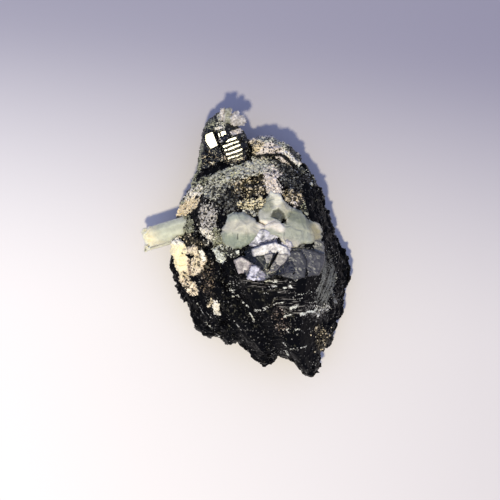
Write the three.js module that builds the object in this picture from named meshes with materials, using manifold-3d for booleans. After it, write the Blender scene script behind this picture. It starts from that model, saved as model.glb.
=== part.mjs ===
// Aquamarine in quartz on black tourmaline, a hand specimen that lies on its broken underside.
// Millimetres, +Z up. The origin is on the base, at the middle of the bounding box.
import * as THREE from "three";
import { mergeVertices } from "three/addons/utils/BufferGeometryUtils.js";
import Module from "manifold-3d";

const wasm = await Module();
wasm.setup();

// Each embedded crystal sits in a pocket that is this much wider than the crystal.
const GAP = 0.3;

// The tourmaline mass. Its outline is seen from above, and it is widest at WAIST above the base.
const CENTRE = { x: 2, y: -3 };
const WAIST = 8.5;
const CROWN = 18.6;
const BASE_LIFT = 0.7;
const OUTLINE = [
  [24.5, -2.2], [22.3, 2.2], [21.5, 6.2], [20, 10.2], [18, 14.6], [15, 19], [12, 21.2],
  [8, 21.8], [3.5, 21.7], [-2, 20.8], [-8, 19.2], [-11.6, 19.4], [-12.8, 17.5],
  [-14.5, 13.5], [-16.8, 9.8], [-17.7, 6.4], [-18.6, 1], [-19, -5], [-18.9, -7.6],
  [-17.7, -11.6], [-15, -15.1], [-14.1, -18], [-12.4, -21.9], [-9.4, -23.9], [-8.2, -22.8],
  [-5, -25.3], [-2.4, -24.2], [-0.6, -26], [1.8, -29], [4.2, -30.4], [6.2, -29.6],
  [7.4, -27.6], [9.7, -29.2], [12.1, -31.4], [15.2, -34.6], [17.2, -33.6], [17.9, -28.6],
  [20.1, -26.2], [21.6, -23.9], [22.5, -19.7], [24, -17.9], [24.2, -14], [24.8, -11.6],
  [26.3, -8.8], [27.1, -6.2],
];
// How deep inside the outline the round form of the mass lies, where its notches have faded out.
const OUTLINE_BLUR = 0.24;
const DOME = { x: 7.5, y: -6, reach: 12.5, rise: 7.2 };
const SHOULDER = { x: -5, y: 9, reach: 9, rise: 1.6 };
const HOLLOW = { x: 0.5, y: 13.4, reach: 3.6, rise: -2.1 };
const SADDLE = { x: -6.5, y: -2.5, reach: 4, rise: -1.4 };
// The crown falls away on the lower left and on the right, and swells in long and short waves.
const SLOPES = [
  { x: -0.75, y: -0.66, start: 5, grade: 0.28 },
  { x: 1, y: 0, start: 15, grade: 0.5 },
];
const SWELLS = [
  { length: 5, rise: 0.8, layer: 0 },
  { length: 2.4, rise: 0.4, layer: 5 },
];
// The rounding of the crown's edge is tighter along the lower edge than along the back.
const EDGE_POWER = 6;
const EDGE_POWER_CHANGE = -2;
const EDGE_ROUND = 0.42;
const BASE_POWER = 6;
const BASE_ROUND = 0.45;
const CHIP = 0.6;
// The valleys between crystals that lie side by side over the lower left, as distances across them.
const VALLEYS = [-31, -25.4, -20, -15.6, -9.4, -1];
const ACROSS = { x: 0.83, y: 0.56 };
const RIB_RISE = 0.3;
const RIB_FADE = { from: -2, to: 16, side: 5 };

// Flat breaks across the mass: [bearing, elevation, depth], each that deep into its furthest point.
const BREAKS = [
  [14, 34, 2.3], [52, 38, 2.1], [92, 42, 1.3], [132, 40, 1.9], [168, 36, 2.1],
  [204, 42, 1.9], [238, 30, 1.6], [272, 44, 1.5], [304, 34, 1.8], [340, 40, 2.1],
  [246, 72, 1], [24, 62, 1.6], [318, 64, 1.3], [120, 66, 1.1],
  [10, -38, 1.9], [75, -34, 1.7], [140, -40, 1.4], [195, -34, 1.9], [250, -36, 1.4], [310, -34, 1.8],
];
const COLUMNS = 90;
const CROWN_ROWS = 18;
const BASE_ROWS = 8;

// The stub of tourmaline at the head: an irregular six-sided section, taken along its axis.
const KNOB = { from: [-5.2, 15.6, 8], to: [-7, 32.6, 10.4] };
const KNOB_SECTION = [
  [5.4, 0.6], [3, 4.2], [-4.7, 3.6], [-5.4, -0.6], [-3.4, -4.4], [4, -4.2],
];
const KNOB_SHARES = [
  [0, 1.14], [0.45, 1.09], [0.7, 0.92], [0.88, 0.68], [1, 0.34],
];
const KNOB_WIDTH = 10;
const KNOB_SLANT = -0.12;

// Beryl and quartz crystals: six sides, flat faces, a slanted or blunt end.
const PRISM = [
  { from: [-12.4, 5, 10.6], to: [-25.7, 1, 9.8], width: 4.9, depth: 5, slant: 0.25, roll: 8 },
  { from: [-16.6, 1.4, 8.9], to: [-26, -1.4, 8.8], width: 2, depth: 3, slant: -0.3, roll: 20 },
];
const VEIN = [
  { from: [-6.8, 0.9, 19.8], to: [4.6, 1.9, 21.4], width: 9.8, depth: 7.4, slant: 0.2, roll: 6 },
  { from: [3.4, 0.4, 21.6], to: [6.4, 12.4, 18.4], width: 6.6, depth: 7, slant: 0.3, roll: -12 },
  { from: [5.8, 13.8, 17.6], to: [11.2, 5.2, 21.8], width: 5.8, depth: 6.6, slant: -0.3, roll: 15 },
  { from: [1.6, 2.6, 22], to: [12.6, 2, 22], width: 6, depth: 6, slant: 0.2, roll: 0 },
  { from: [4.4, 7.6, 18.8], to: [11.4, 4.4, 19.8], width: 6.6, depth: 6, slant: 0, roll: 22 },
  { from: [9, 4.4, 21.2], to: [19, 2, 17.4], width: 9, depth: 7.6, slant: 0.25, roll: -8 },
  { from: [16.8, 5, 17.4], to: [18.2, -3.4, 17.6], width: 5, depth: 5.4, slant: -0.2, roll: 10 },
];
const SPRIGS = [
  { from: [-5.9, 28.8, 11.6], to: [-5.2, 33.4, 14.8], width: 3, depth: 2.4, slant: 0.4, roll: 10 },
  { from: [-6.4, 30.2, 12], to: [0.1, 29.6, 14.2], width: 3.6, depth: 3, slant: -0.3, roll: -10 },
];
const BERYL_SHARES = [[0, 1], [0.94, 1], [1, 0.72]];
const BERYL_UNEVENNESS = 0.16;

// The window of clear quartz, a low faceted lens let into the dome.
const WINDOW = { at: [5.6, -3.6, 22.2], radii: [6.6, 5.4, 3.3], turn: -0.15 };

// Feldspar lumps: blocky on the left side, granular along the back.
const CRUST = [
  { at: [-16.4, -3.6, 9.4], radii: [3.1, 4.4, 5.2], turn: -0.1 },
  { at: [-12.9, -3.4, 13.6], radii: [3.2, 3.4, 4], turn: 0.3 },
  { at: [-13.9, -9.2, 11], radii: [2.4, 3.6, 3.6], turn: 0.25 },
];
const RIDGE = [
  { at: [2.9, 23.2, 9.2], radii: [3, 3, 3.6], turn: 0.2 },
  { at: [6.8, 23, 9.8], radii: [3.4, 2.9, 3.6], turn: -0.2 },
  { at: [10.4, 21.7, 10], radii: [3, 2.6, 3.4], turn: -0.6 },
  { at: [13, 19.8, 10.2], radii: [2.4, 2, 3], turn: -0.8 },
];

const WINDOW_FORM = { columns: 12, rows: 6, squareness: 0.8, rough: 0.1 };
const FELDSPAR_FORM = { columns: 10, rows: 6, squareness: 0.6, rough: 0.16 };
const LUMP_GRAIN = 1.7;

const MATERIALS = {
  tourmaline: { color: "#15161a", roughness: 0.28, metalness: 0 },
  aquamarine: { color: "#b9c9b6", roughness: 0.22, metalness: 0 },
  quartz: { color: "#d9dbe0", roughness: 0.12, metalness: 0 },
  feldspar: { color: "#e3d3ad", roughness: 0.7, metalness: 0 },
};

const fraction = (a) => a - Math.floor(a);

// A repeatable value from 0 to 1 for each corner of a unit lattice.
function latticeValue(i, j, k) {
  return fraction(Math.sin(i * 127.1 + j * 311.7 + k * 74.7) * 43758.5453);
}

// Smooth noise from -1 to 1, one swell for each unit of length.
function noise(x, y, z) {
  const [i, j, k] = [x, y, z].map(Math.floor);
  const [u, v, w] = [x - i, y - j, z - k].map((t) => t * t * (3 - 2 * t));
  const edge = (dj, dk) =>
    THREE.MathUtils.lerp(latticeValue(i, j + dj, k + dk), latticeValue(i + 1, j + dj, k + dk), u);
  const face = (dk) => THREE.MathUtils.lerp(edge(0, dk), edge(1, dk), v);
  return 2 * THREE.MathUtils.lerp(face(0), face(1), w) - 1;
}

// A round hill or hollow, seen from above.
function hill(x, y, { x: cx, y: cy, reach, rise }) {
  return rise * Math.exp(-((x - cx) ** 2 + (y - cy) ** 2) / reach ** 2);
}

// The outline as pairs of angle and radius about CENTRE, in order of angle, once round and closed.
const OUTLINE_POLAR = OUTLINE.map(([x, y]) => [
  (Math.atan2(y - CENTRE.y, x - CENTRE.x) + 2 * Math.PI) % (2 * Math.PI),
  Math.hypot(x - CENTRE.x, y - CENTRE.y),
]).sort((a, b) => a[0] - b[0]);
OUTLINE_POLAR.push([OUTLINE_POLAR[0][0] + 2 * Math.PI, OUTLINE_POLAR[0][1]]);

function outlineRadius(angle) {
  const first = OUTLINE_POLAR[0][0];
  const a = first + ((((angle - first) % (2 * Math.PI)) + 2 * Math.PI) % (2 * Math.PI));
  const n = Math.max(1, OUTLINE_POLAR.findIndex((p) => p[0] >= a));
  const [[a0, r0], [a1, r1]] = [OUTLINE_POLAR[n - 1], OUTLINE_POLAR[n]];
  return r0 + ((r1 - r0) * (a - a0)) / (a1 - a0);
}

// The outline without its notches: the mean of its radius over a few places to each side.
function roundRadius(angle) {
  const places = [-2, -1, 0, 1, 2].map((k) => outlineRadius(angle + (k * OUTLINE_BLUR) / 2));
  return places.reduce((sum, r) => sum + r) / places.length;
}

// Ridges that run down and to the right over the lower left of the mass, like crystals side by side:
// a wave between one valley and the next, as high as the ridge is wide, times RIB_RISE. They fade
// out up the slope and towards the right.
function ribs(x, y) {
  const across = ACROSS.x * x + ACROSS.y * y;
  const n = VALLEYS.findIndex((v) => v > across);
  if (n < 1) return 0;
  const width = VALLEYS[n] - VALLEYS[n - 1];
  const place = (2 * (across - VALLEYS[n - 1])) / width - 1;
  const along = ACROSS.y * x - ACROSS.x * y;
  const upSlope = THREE.MathUtils.smoothstep(along, RIB_FADE.from, RIB_FADE.to);
  const sideways = THREE.MathUtils.smoothstep(-across, 0, RIB_FADE.side);
  return 0.5 * RIB_RISE * width * Math.cos(Math.PI * place) * upSlope * sideways;
}

// Height of the top of the mass above the base, before its edge is rounded down to the waist.
function crownHeight(x, y) {
  const hills = [DOME, SHOULDER, HOLLOW, SADDLE].reduce((sum, h) => sum + hill(x, y, h), 0);
  const fall = SLOPES.reduce((sum, s) => sum + s.grade * Math.max(0, s.x * x + s.y * y - s.start), 0);
  const swell = SWELLS.reduce((sum, w) => sum + w.rise * noise(x / w.length, y / w.length, w.layer), 0);
  return CROWN + hills - fall + ribs(x, y) + swell;
}

// A point of the mass before it is broken. turn goes round it, and row goes from the top's middle
// to the base's middle.
function wholePoint(turn, row) {
  const angle = 2 * Math.PI * turn;
  const top = row <= CROWN_ROWS;
  const share = Math.sin(
    (Math.PI / 2) * (top ? row / CROWN_ROWS : (CROWN_ROWS + BASE_ROWS - row) / BASE_ROWS),
  );
  const [cos, sin] = [Math.cos(angle), Math.sin(angle)];
  const chips = CHIP * noise(5 * cos, 5 * sin, top ? 7 + share : 9 - share);
  const edge = THREE.MathUtils.lerp(roundRadius(angle), outlineRadius(angle), share ** 4);
  const radius = share * (edge + chips);
  const [x, y] = [CENTRE.x + radius * cos, CENTRE.y + radius * sin];
  if (top) {
    const round = (1 - share ** (EDGE_POWER + EDGE_POWER_CHANGE * sin)) ** EDGE_ROUND;
    return new THREE.Vector3(x, y, WAIST + (crownHeight(x, y) - WAIST) * round);
  }
  const round = 1 - (1 - share ** BASE_POWER) ** BASE_ROUND;
  const rough = BASE_LIFT * (0.6 * noise(x / 4, y / 4, 11) - 1);
  return new THREE.Vector3(x, y, WAIST * round + rough * (1 - round));
}

// Each break as a direction and the furthest that a point may reach along it.
function breakPlanes() {
  const points = [];
  for (let row = 0; row <= CROWN_ROWS + BASE_ROWS; row++)
    for (let column = 0; column < COLUMNS; column++) points.push(wholePoint(column / COLUMNS, row));
  return BREAKS.map(([bearing, elevation, depth]) => {
    const [b, e] = [bearing, elevation].map(THREE.MathUtils.degToRad);
    const facing = new THREE.Vector3(
      Math.cos(e) * Math.cos(b),
      Math.cos(e) * Math.sin(b),
      Math.sin(e),
    );
    return { facing, reach: Math.max(...points.map((p) => p.dot(facing))) - depth };
  });
}

// The whole mass's point, brought back to each break that it is beyond, so that the break is flat.
const BREAK_PLANES = breakPlanes();
function massPoint(turn, row) {
  const point = wholePoint(turn, row);
  for (const { facing, reach } of BREAK_PLANES)
    point.addScaledVector(facing, -Math.max(0, point.dot(facing) - reach));
  return point.setZ(Math.max(0, point.z));
}

// A closed surface from a grid of points: columns go round, and the first and last rows are poles.
function gridSolid(columns, rows, point) {
  const positions = [];
  for (let row = 0; row <= rows; row++)
    for (let column = 0; column < columns; column++)
      positions.push(...point(row % rows === 0 ? 0 : column / columns, row).toArray());
  const faces = [];
  for (let row = 0; row < rows; row++)
    for (let column = 0; column < columns; column++) {
      const [a, b] = [row * columns + column, row * columns + ((column + 1) % columns)];
      faces.push([a, a + columns, b], [b, a + columns, b + columns]);
    }
  const geometry = new THREE.BufferGeometry();
  geometry.setAttribute("position", new THREE.Float32BufferAttribute(positions, 3));
  geometry.setIndex(faces.flat());
  return solidOf(geometry);
}

function solidOf(geometry) {
  const merged = mergeVertices(geometry, 1e-4);
  const corners = [];
  for (let n = 0; n < merged.index.count; n += 3) {
    const [a, b, c] = [0, 1, 2].map((k) => merged.index.getX(n + k));
    if (a !== b && b !== c && c !== a) corners.push(a, b, c);
  }
  return new wasm.Manifold(
    new wasm.Mesh({
      numProp: 3,
      vertProperties: merged.attributes.position.array,
      triVerts: new Uint32Array(corners),
    }),
  );
}

const joined = (solids) => solids.reduce((all, solid) => all.add(solid));

// The largest of the bodies that a cut leaves.
const mainBody = (solid) => solid.decompose().sort((a, b) => b.volume() - a.volume())[0];

// A sine or cosine pushed out towards the corners of a square.
const squared = (wave, squareness) => Math.sign(wave) * Math.abs(wave) ** squareness;

// The directions of a crystal: along its axis, sideways on the level, and up.
function crystalFrame({ from, to }) {
  const [start, end] = [new THREE.Vector3(...from), new THREE.Vector3(...to)];
  const along = end.clone().sub(start);
  const length = along.length();
  along.normalize();
  const side = along.clone().cross(new THREE.Vector3(0, 0, 1)).normalize();
  return { start, length, along, side, up: side.clone().cross(along) };
}

// A section carried along a crystal's axis. rings gives [share of the length, share of the section].
// section gives a corner [side, up] in millimetres, and slant tips the far end.
function sweptSolid(crystal, columns, section, rings, grow = 0) {
  const { start, length, along, side, up } = crystalFrame(crystal);
  const slant = crystal.slant ?? 0;
  const closed = [[rings[0][0], 0], ...rings, [rings[rings.length - 1][0], 0]];
  return gridSolid(columns, closed.length - 1, (turn, row) => {
    const [share, size] = closed[row];
    const [s, u] = section(turn, share);
    const spread = size === 0 ? 0 : size + (grow * 2) / crystal.width;
    const reach = share * length + grow * (2 * share - 1) + slant * s * spread * share ** 4;
    return start
      .clone()
      .addScaledVector(along, reach)
      .addScaledVector(side, s * spread)
      .addScaledVector(up, u * spread);
  });
}

// Six flat sides, one of them up before the roll, with small differences between crystals.
function berylSolid(crystal, grow) {
  const section = (turn) => {
    const angle = 2 * Math.PI * turn + THREE.MathUtils.degToRad(crystal.roll);
    const uneven = 1 + BERYL_UNEVENNESS * noise(crystal.to[0] + 9 * turn, crystal.to[1], 2);
    return [
      (crystal.width / 2) * Math.cos(angle) * uneven,
      (crystal.depth / 2) * Math.sin(angle) * uneven,
    ];
  };
  return sweptSolid(crystal, 6, section, BERYL_SHARES, grow);
}

function knobSolid(grow = 0) {
  const sides = KNOB_SECTION.length;
  const section = (turn) => KNOB_SECTION[Math.round(turn * sides) % sides];
  const knob = { ...KNOB, width: KNOB_WIDTH, slant: KNOB_SLANT };
  return sweptSolid(knob, sides, section, KNOB_SHARES, grow);
}

// A blocky lump: a ball pushed out towards its corners, with a rough skin.
function lumpSolid({ at, radii, turn: heading }, form, grow = 0) {
  const { columns, rows, squareness, rough } = form;
  return gridSolid(columns, rows, (turn, row) => {
    const [angle, tilt] = [2 * Math.PI * turn, Math.PI * (0.5 - row / rows)];
    const ring = row % rows === 0 ? 0 : squared(Math.cos(tilt), squareness);
    const unit = new THREE.Vector3(
      ring * squared(Math.cos(angle), squareness),
      ring * squared(Math.sin(angle), squareness),
      squared(Math.sin(tilt), squareness),
    );
    const place = unit.clone().multiply(new THREE.Vector3(...radii)).add(new THREE.Vector3(...at));
    const chips = 1 + rough * noise(...place.divideScalar(LUMP_GRAIN).toArray());
    const size = new THREE.Vector3(...radii).multiplyScalar(chips).addScalar(grow);
    return unit
      .multiply(size)
      .applyAxisAngle(new THREE.Vector3(0, 0, 1), heading)
      .add(new THREE.Vector3(...at));
  });
}

const aquamarine = (crystals, grow) => joined(crystals.map((c) => berylSolid(c, grow)));
const quartzWindow = (grow) => lumpSolid(WINDOW, WINDOW_FORM, grow);
const feldspar = (lumps, grow) => joined(lumps.map((l) => lumpSolid(l, FELDSPAR_FORM, grow)));

// Each piece is cut back from the ones that grew before it, with GAP between them.
function specimenSolids() {
  const wholeMass = gridSolid(COLUMNS, CROWN_ROWS + BASE_ROWS, massPoint);
  const vein = aquamarine(VEIN, 0);
  const veinPocket = aquamarine(VEIN, GAP);
  const knob = knobSolid();
  const knobPocket = knobSolid(GAP);
  const sprigs = mainBody(aquamarine(SPRIGS, 0).subtract(knobPocket));
  const pockets = [
    veinPocket,
    quartzWindow(GAP),
    aquamarine(PRISM, GAP),
    feldspar(CRUST, GAP),
    feldspar(RIDGE, GAP),
    knobPocket,
  ];
  return {
    tourmaline_mass: [mainBody(pockets.reduce((mass, p) => mass.subtract(p), wholeMass)), "tourmaline"],
    tourmaline_knob: [knob, "tourmaline"],
    aquamarine_prism: [aquamarine(PRISM, 0), "aquamarine"],
    aquamarine_vein: [vein, "aquamarine"],
    quartz_window: [mainBody(quartzWindow(0).subtract(veinPocket)), "quartz"],
    quartz_sprigs: [sprigs, "quartz"],
    feldspar_crust: [mainBody(feldspar(CRUST, 0).subtract(aquamarine(PRISM, GAP))), "feldspar"],
    feldspar_ridge: [mainBody(feldspar(RIDGE, 0).subtract(knobPocket)), "feldspar"],
  };
}

function meshOf(name, solid, material) {
  const { numProp, numVert, vertProperties, triVerts } = solid.getMesh();
  const positions = new Float32Array(numVert * 3);
  for (let n = 0; n < numVert; n++)
    positions.set(vertProperties.subarray(n * numProp, n * numProp + 3), 3 * n);
  const geometry = new THREE.BufferGeometry();
  geometry.setAttribute("position", new THREE.BufferAttribute(positions, 3));
  geometry.setIndex(new THREE.BufferAttribute(triVerts, 1));
  const mesh = new THREE.Mesh(geometry, new THREE.MeshStandardMaterial(MATERIALS[material]));
  mesh.name = name;
  return mesh;
}

const specimen = new THREE.Group();
for (const [name, [solid, material]] of Object.entries(specimenSolids()))
  specimen.add(meshOf(name, solid, material));

export default specimen;
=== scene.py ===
"""Aquamarine and quartz in black tourmaline, a hand specimen, with its floor, lights and camera."""

import functools
import math

import bpy
import numpy as np
from bpy.props import FloatProperty, FloatVectorProperty, IntProperty, PointerProperty
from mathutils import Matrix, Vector


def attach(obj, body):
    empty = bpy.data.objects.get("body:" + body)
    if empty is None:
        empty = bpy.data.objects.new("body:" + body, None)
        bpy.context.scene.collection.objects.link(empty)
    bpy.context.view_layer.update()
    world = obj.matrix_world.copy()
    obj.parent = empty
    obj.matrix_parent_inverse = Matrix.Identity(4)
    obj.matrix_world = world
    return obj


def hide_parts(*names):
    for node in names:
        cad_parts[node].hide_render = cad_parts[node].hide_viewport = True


bl_info = {
    "name": "Aquamarine Specimen",
    "version": (1, 0, 0),
    "blender": (4, 5, 0),
    "location": "View3D > Sidebar > Specimen",
    "description": "Makes a tourmaline, aquamarine, quartz and feldspar specimen around its solids",
    "category": "Add Mesh",
}

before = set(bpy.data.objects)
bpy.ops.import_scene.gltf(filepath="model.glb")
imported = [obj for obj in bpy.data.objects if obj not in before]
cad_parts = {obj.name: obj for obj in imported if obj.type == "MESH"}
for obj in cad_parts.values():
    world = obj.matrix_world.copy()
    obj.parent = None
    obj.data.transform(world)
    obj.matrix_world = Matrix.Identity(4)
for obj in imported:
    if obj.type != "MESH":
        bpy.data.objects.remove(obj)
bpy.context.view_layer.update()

# Lengths are in millimetres. They become metres where a mesh, a light or the camera is made.
MM = 0.001
FULL_TURN = 2 * math.pi

# The tourmaline body: the outline from above, which its solid follows a little further out in
# places, widest at WAIST over the base.
CENTRE = np.array([2.0, -3.0])
WAIST = 8.5
CROWN = 18.6
BASE_LIFT = 0.7
OUTLINE = np.array([
    (24, -2.2), (21.6, 2.2), (20.8, 6.2), (19.5, 10.2), (17.6, 14.6), (14.8, 19), (12, 21.2),
    (8, 21.8), (3.5, 21.7), (-2, 20.8), (-8, 19.2), (-11.4, 19.4), (-12.2, 17.5),
    (-13.6, 13.7), (-16.4, 9.8), (-17.6, 6.4), (-18.6, 1), (-19, -5), (-18.9, -7.6),
    (-17.7, -11.6), (-15, -15.1), (-14.1, -18), (-12.3, -22.2), (-9.3, -24.2), (-8.2, -22.8),
    (-5, -25.3), (-2.4, -24.2), (-0.6, -26), (1.8, -29), (4.2, -30.4), (6.2, -29.6),
    (7.4, -27.6), (9.7, -28.6), (11.7, -29.7), (13.5, -31.8), (15.4, -33.4), (16.9, -34.3),
    (17.7, -33.1), (18, -31), (17.9, -27.6), (20.1, -25.5), (21.6, -23.9), (22.8, -19.8),
    (24.2, -18.1), (24.2, -14), (24.5, -11.5), (26.3, -8.8), (27.1, -6.2),
])
# The angle over which the outline is evened out away from the edge, in radians.
OUTLINE_BLUR = 0.24
# Hills and hollows of the crown: x, y, reach and rise.
HILLS = [
    (7.5, -6, 12.5, 7.2),
    (-5, 9, 9, 1.6),
    (0.5, 13.4, 3.6, -2.1),
    (-6.5, -2.5, 4, -1.4),
]
# Slopes as the direction's x and y, where the slope starts along it, and its grade.
SLOPES = [(-0.75, -0.66, 5, 0.28), (1, 0, 15, 0.5)]
# Swells as wave length, rise and layer of the noise.
SWELLS = [(5, 0.8, 0), (2.4, 0.4, 5)]
# The rounding towards the edge: (1 - share^power)^round, with a power that changes from the front
# to the back over the top, and one power under the body. CHIP is how ragged the edge is.
EDGE_POWER = 6
EDGE_POWER_CHANGE = -2
EDGE_ROUND = 0.42
BASE_POWER = 6
BASE_ROUND = 0.45
CHIP = 0.6
# Crystals side by side: the valleys between them as places along a direction, their rise as a share
# of their half width, and where they fade along and across.
VALLEYS = np.array([-31, -25.4, -20, -15.6, -9.4, -1])
ACROSS = (0.83, 0.56)
RIB_RISE = 0.3
RIB_FADE = (-2, 16, 5)
# Flat breaks: bearing, elevation, and depth into the furthest point.
BREAKS = [
    (14, 34, 2.3), (52, 38, 2.1), (92, 42, 1.3), (132, 40, 1.9), (168, 36, 2.1),
    (204, 42, 1.9), (238, 30, 1.6), (272, 44, 1.5), (304, 34, 1.8), (340, 40, 2.1),
    (246, 72, 1), (24, 62, 1.6), (318, 64, 1.3), (120, 66, 1.1),
    (10, -38, 1.9), (75, -34, 1.7), (140, -40, 1.4), (195, -34, 1.9), (250, -36, 1.4),
    (310, -34, 1.8),
]
# Columns and rows of the solid, which the depths of the breaks are measured on.
SOLID_COLUMNS = 90
SOLID_CROWN_ROWS = 18
SOLID_BASE_ROWS = 8

# The plateau's back edge, as x and y along it, with its height, and its fall behind, in front and
# past its ends.
LEDGE = np.array([
    (-9.8, 16.3), (-7.6, 16.7), (-5.2, 17.7), (-0.4, 19.9), (6.9, 21.2), (11, 20.4), (14.5, 18),
])
LEDGE_HEIGHT = 16.6
LEDGE_FALL = (7, 0.22, 1.6)
# The steps on the dome: their slope along x and y, how far they lie apart, how much they lean off
# the level across the view, how long one stretch is, and how far stretches differ in slope.
TREAD = (0.05, 0.16)
TREAD_WIDTH = 1.0
TREAD_LEAN = 0.16
TREAD_LENGTH = 3.4
TREAD_TILT = 0.16
# Half the distance over which the crown's own slope is measured.
SLOPE_REACH = 0.4
# On the right the top's rounded edge begins further in than in the solid, by this share of its
# power, and past an x the top falls by a grade as well.
RIGHT_FALL = 0.7
RIGHT_DROP = (17, 0.4)
# How much lower the body's widest line lies on the right than in the solid, and how far that side
# is turned from the x direction, in radians.
RIM_DROP = 3.4
RIM_TURN = 0.35
# Pits and notches: x, y, radii along and across, turn in degrees, depth.
PITS = [
    (1.2, 14.9, 4.2, 1.9, 24, 1.7),
    (2.9, 17.1, 2.6, 0.7, 33, 1.6),
    (9.5, 12.4, 0.8, 2.4, -12, 1.8),
    (-11.6, 3.6, 1, 3.6, -12, 1.0),
    (-7.2, -0.6, 4.4, 1, 14, 0.9),
    (-5.6, -8.4, 1, 5, 10, 0.8),
    (5, -5.2, 7.4, 6.2, 10, 1.9),
]


def from_screen(*values):
    """A linear colour from three 0 to 255 values as a screen shows them."""
    c = np.array(values) / 255
    return np.where(c <= 0.04045, c / 12.92, ((c + 0.055) / 1.055) ** 2.4)


INK = from_screen(8, 8, 10)
SLATE = from_screen(97, 96, 92)
# PEARL, the ground of the body's paint, shows as its scattered specks of painted glint, and in one
# patch.
PEARL = from_screen(193, 190, 186)
VEIL = from_screen(112, 112, 108)
SAGE = from_screen(214, 211, 178)
SUGAR = from_screen(201, 198, 183)
MOSS = from_screen(152, 152, 130)
ASH = from_screen(196, 189, 184)
ROSE = from_screen(226, 214, 206)
CREAM = from_screen(255, 240, 200)
IVORY = from_screen(252, 244, 230)
TAN = from_screen(226, 208, 176)
BROWN = from_screen(158, 138, 118)
RUST = from_screen(150, 132, 122)
FROST = from_screen(221, 222, 213)
BLUSH = from_screen(240, 222, 196)
# Mineral patches on the body as strokes, with a black one of painted shadow: the line, its half
# width, colour, the share of pale grains in it, and how many loose grains lie on a square millimetre.
PATCHES = [
    ([(-12, 13.6), (-9, 15.4), (-6.8, 16.2)], 1.5, MOSS, 0.56, 7),
    ([(-8.6, 12.8), (-6.4, 15), (-3.4, 17), (1.4, 18.9), (5.2, 19.4)], 2.1, SUGAR, 0.87, 11),
    ([(5.6, 20), (10.6, 19.4)], 1.4, SLATE, 0.6, 6),
    ([(8.4, 17.6), (11.6, 14.8)], 2.4, SLATE, 0.42, 5),
    ([(6, 17.4), (5.4, 15), (6.6, 12.8)], 1.7, ROSE, 0.94, 12),
    ([(-2.2, 13.4), (2.4, 14.2)], 2.4, TAN, 0.25, 12),
    ([(0.2, 13.4), (4.2, 16)], 0.95, INK, 0, 0),
    ([(3, 18.4), (5.4, 18.2)], 0.7, SUGAR, 1.0, 4),
    ([(-6.2, 15.6), (-2.4, 17.4)], 1.0, SAGE, 0.98, 5),
    ([(-5.8, 17.5), (-1.4, 19.4)], 0.5, SAGE, 1.2, 2),
    ([(-1, 9.4), (3.6, 9.6)], 1.3, CREAM, 0.54, 14),
    ([(0, 7.6), (3, 7.4)], 0.8, SUGAR, 0.56, 10),
    ([(10.2, 11.6), (12.6, 11.2)], 1.4, TAN, 0.42, 12),
    ([(10.6, 10), (12.2, 9.7)], 0.9, ROSE, 0.5, 9),
    ([(13.2, 9.4), (14, 7.2)], 0.8, MOSS, 0.4, 6),
    ([(-7.6, 12), (-4, 10)], 2.8, SLATE, 0.42, 8),
    ([(-14, 12.2), (-12.2, 13)], 1.2, IVORY, 0.74, 12),
    ([(-11.6, 19.8), (-13.2, 17), (-14.8, 13.6), (-16.4, 10.4)], 0.9, MOSS, 0.72, 7),
    ([(-15.6, 10.8), (-14, 12.6)], 1.0, IVORY, 0.84, 10),
    ([(-16.4, 8.4), (-13.6, 9.9)], 1.6, TAN, 0.94, 13),
    ([(-9.8, 7.8), (-9.6, 4.4)], 2.2, ASH, 0.6, 15),
    ([(-10.8, 2.9), (-8.6, 1.5)], 0.9, IVORY, 0.82, 12),
    ([(-10.8, 0.4), (-9.8, -0.2)], 0.45, IVORY, 0.5, 9),
    ([(-8.2, 3), (-7.4, 0.4)], 1.1, MOSS, 0.74, 4),
    ([(-6, 0.4), (-5.4, -2.2)], 0.9, MOSS, 0.9, 5),
    ([(-7.2, -1.6), (-6.4, -4)], 1.0, FROST, 0.9, 5),
    ([(-5.8, -1.2), (-3.2, -2.6)], 1.1, FROST, 0.22, 9),
    ([(-15.2, 5.8), (-14.6, 3.4)], 1.15, MOSS, 0.72, 8),
    ([(-14.6, 1.2), (-11.8, -0.4)], 1.2, TAN, 0.18, 8),
    ([(-10.6, -5.6), (-9.6, -11)], 2.0, BROWN, 0.12, 3),
    ([(-16, -9), (-13.4, -11.6)], 1.2, BLUSH, 0.72, 12),
    ([(-8, -14.6), (-7.6, -17.2)], 0.74, IVORY, 0.84, 14),
    ([(-8.8, -14.2), (-9.5, -15.4)], 0.5, TAN, 0.6, 10),
    ([(6.8, -16.8), (8.8, -20.6)], 1.6, RUST, 0.13, 4),
    ([(17.2, -16.2), (19, -15.9)], 1.3, PEARL, 0.56, 5),
    ([(18, -22), (19.4, -26)], 1.8, TAN, 0.11, 5),
    ([(13, 18.6), (16.2, 15.4)], 1.0, FROST, 0.25, 6),
    ([(16, 13), (19, 7)], 1.4, SLATE, 0.06, 1),
    ([(11.6, -2.6), (16.6, -4.6)], 2.3, SLATE, 0.72, 4),
    # Painted shadow: a black line along the plateau's back edge, at the foot of the ridge.
    ([(-4.6, 18.9), (0.6, 20.8), (4.4, 21.2), (8.2, 21.6), (9.9, 20.3), (12.7, 17.8)], 0.4, INK, 0, 0),
    ([(0.6, -7), (3.8, -7.6)], 0.9, FROST, 0.8, 10),
    ([(19.8, -4), (19.8, -9), (18, -14)], 1.9, SLATE, 0.42, 0),
    ([(18.4, -1.6), (19.2, -5), (18.8, -9), (17.2, -13.4)], 0.24, VEIL, 1.1, 0),
    ([(18.9, -4.4), (18.3, -8.6), (16.9, -12)], 0.16, VEIL, 1.1, 0),
    ([(21.2, -6), (20.3, -10.4), (18.4, -14.4)], 0.32, VEIL, 1.1, 0),
    ([(20.6, -6.6), (19.5, -10.6), (17.9, -13.8)], 0.2, VEIL, 1.1, 0),
    ([(21.8, -7.4), (21, -11), (19.2, -14.6)], 0.22, VEIL, 1.1, 0),
    ([(20.9, -12), (22, -15)], 0.26, VEIL, 1.1, 0),
]
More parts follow.
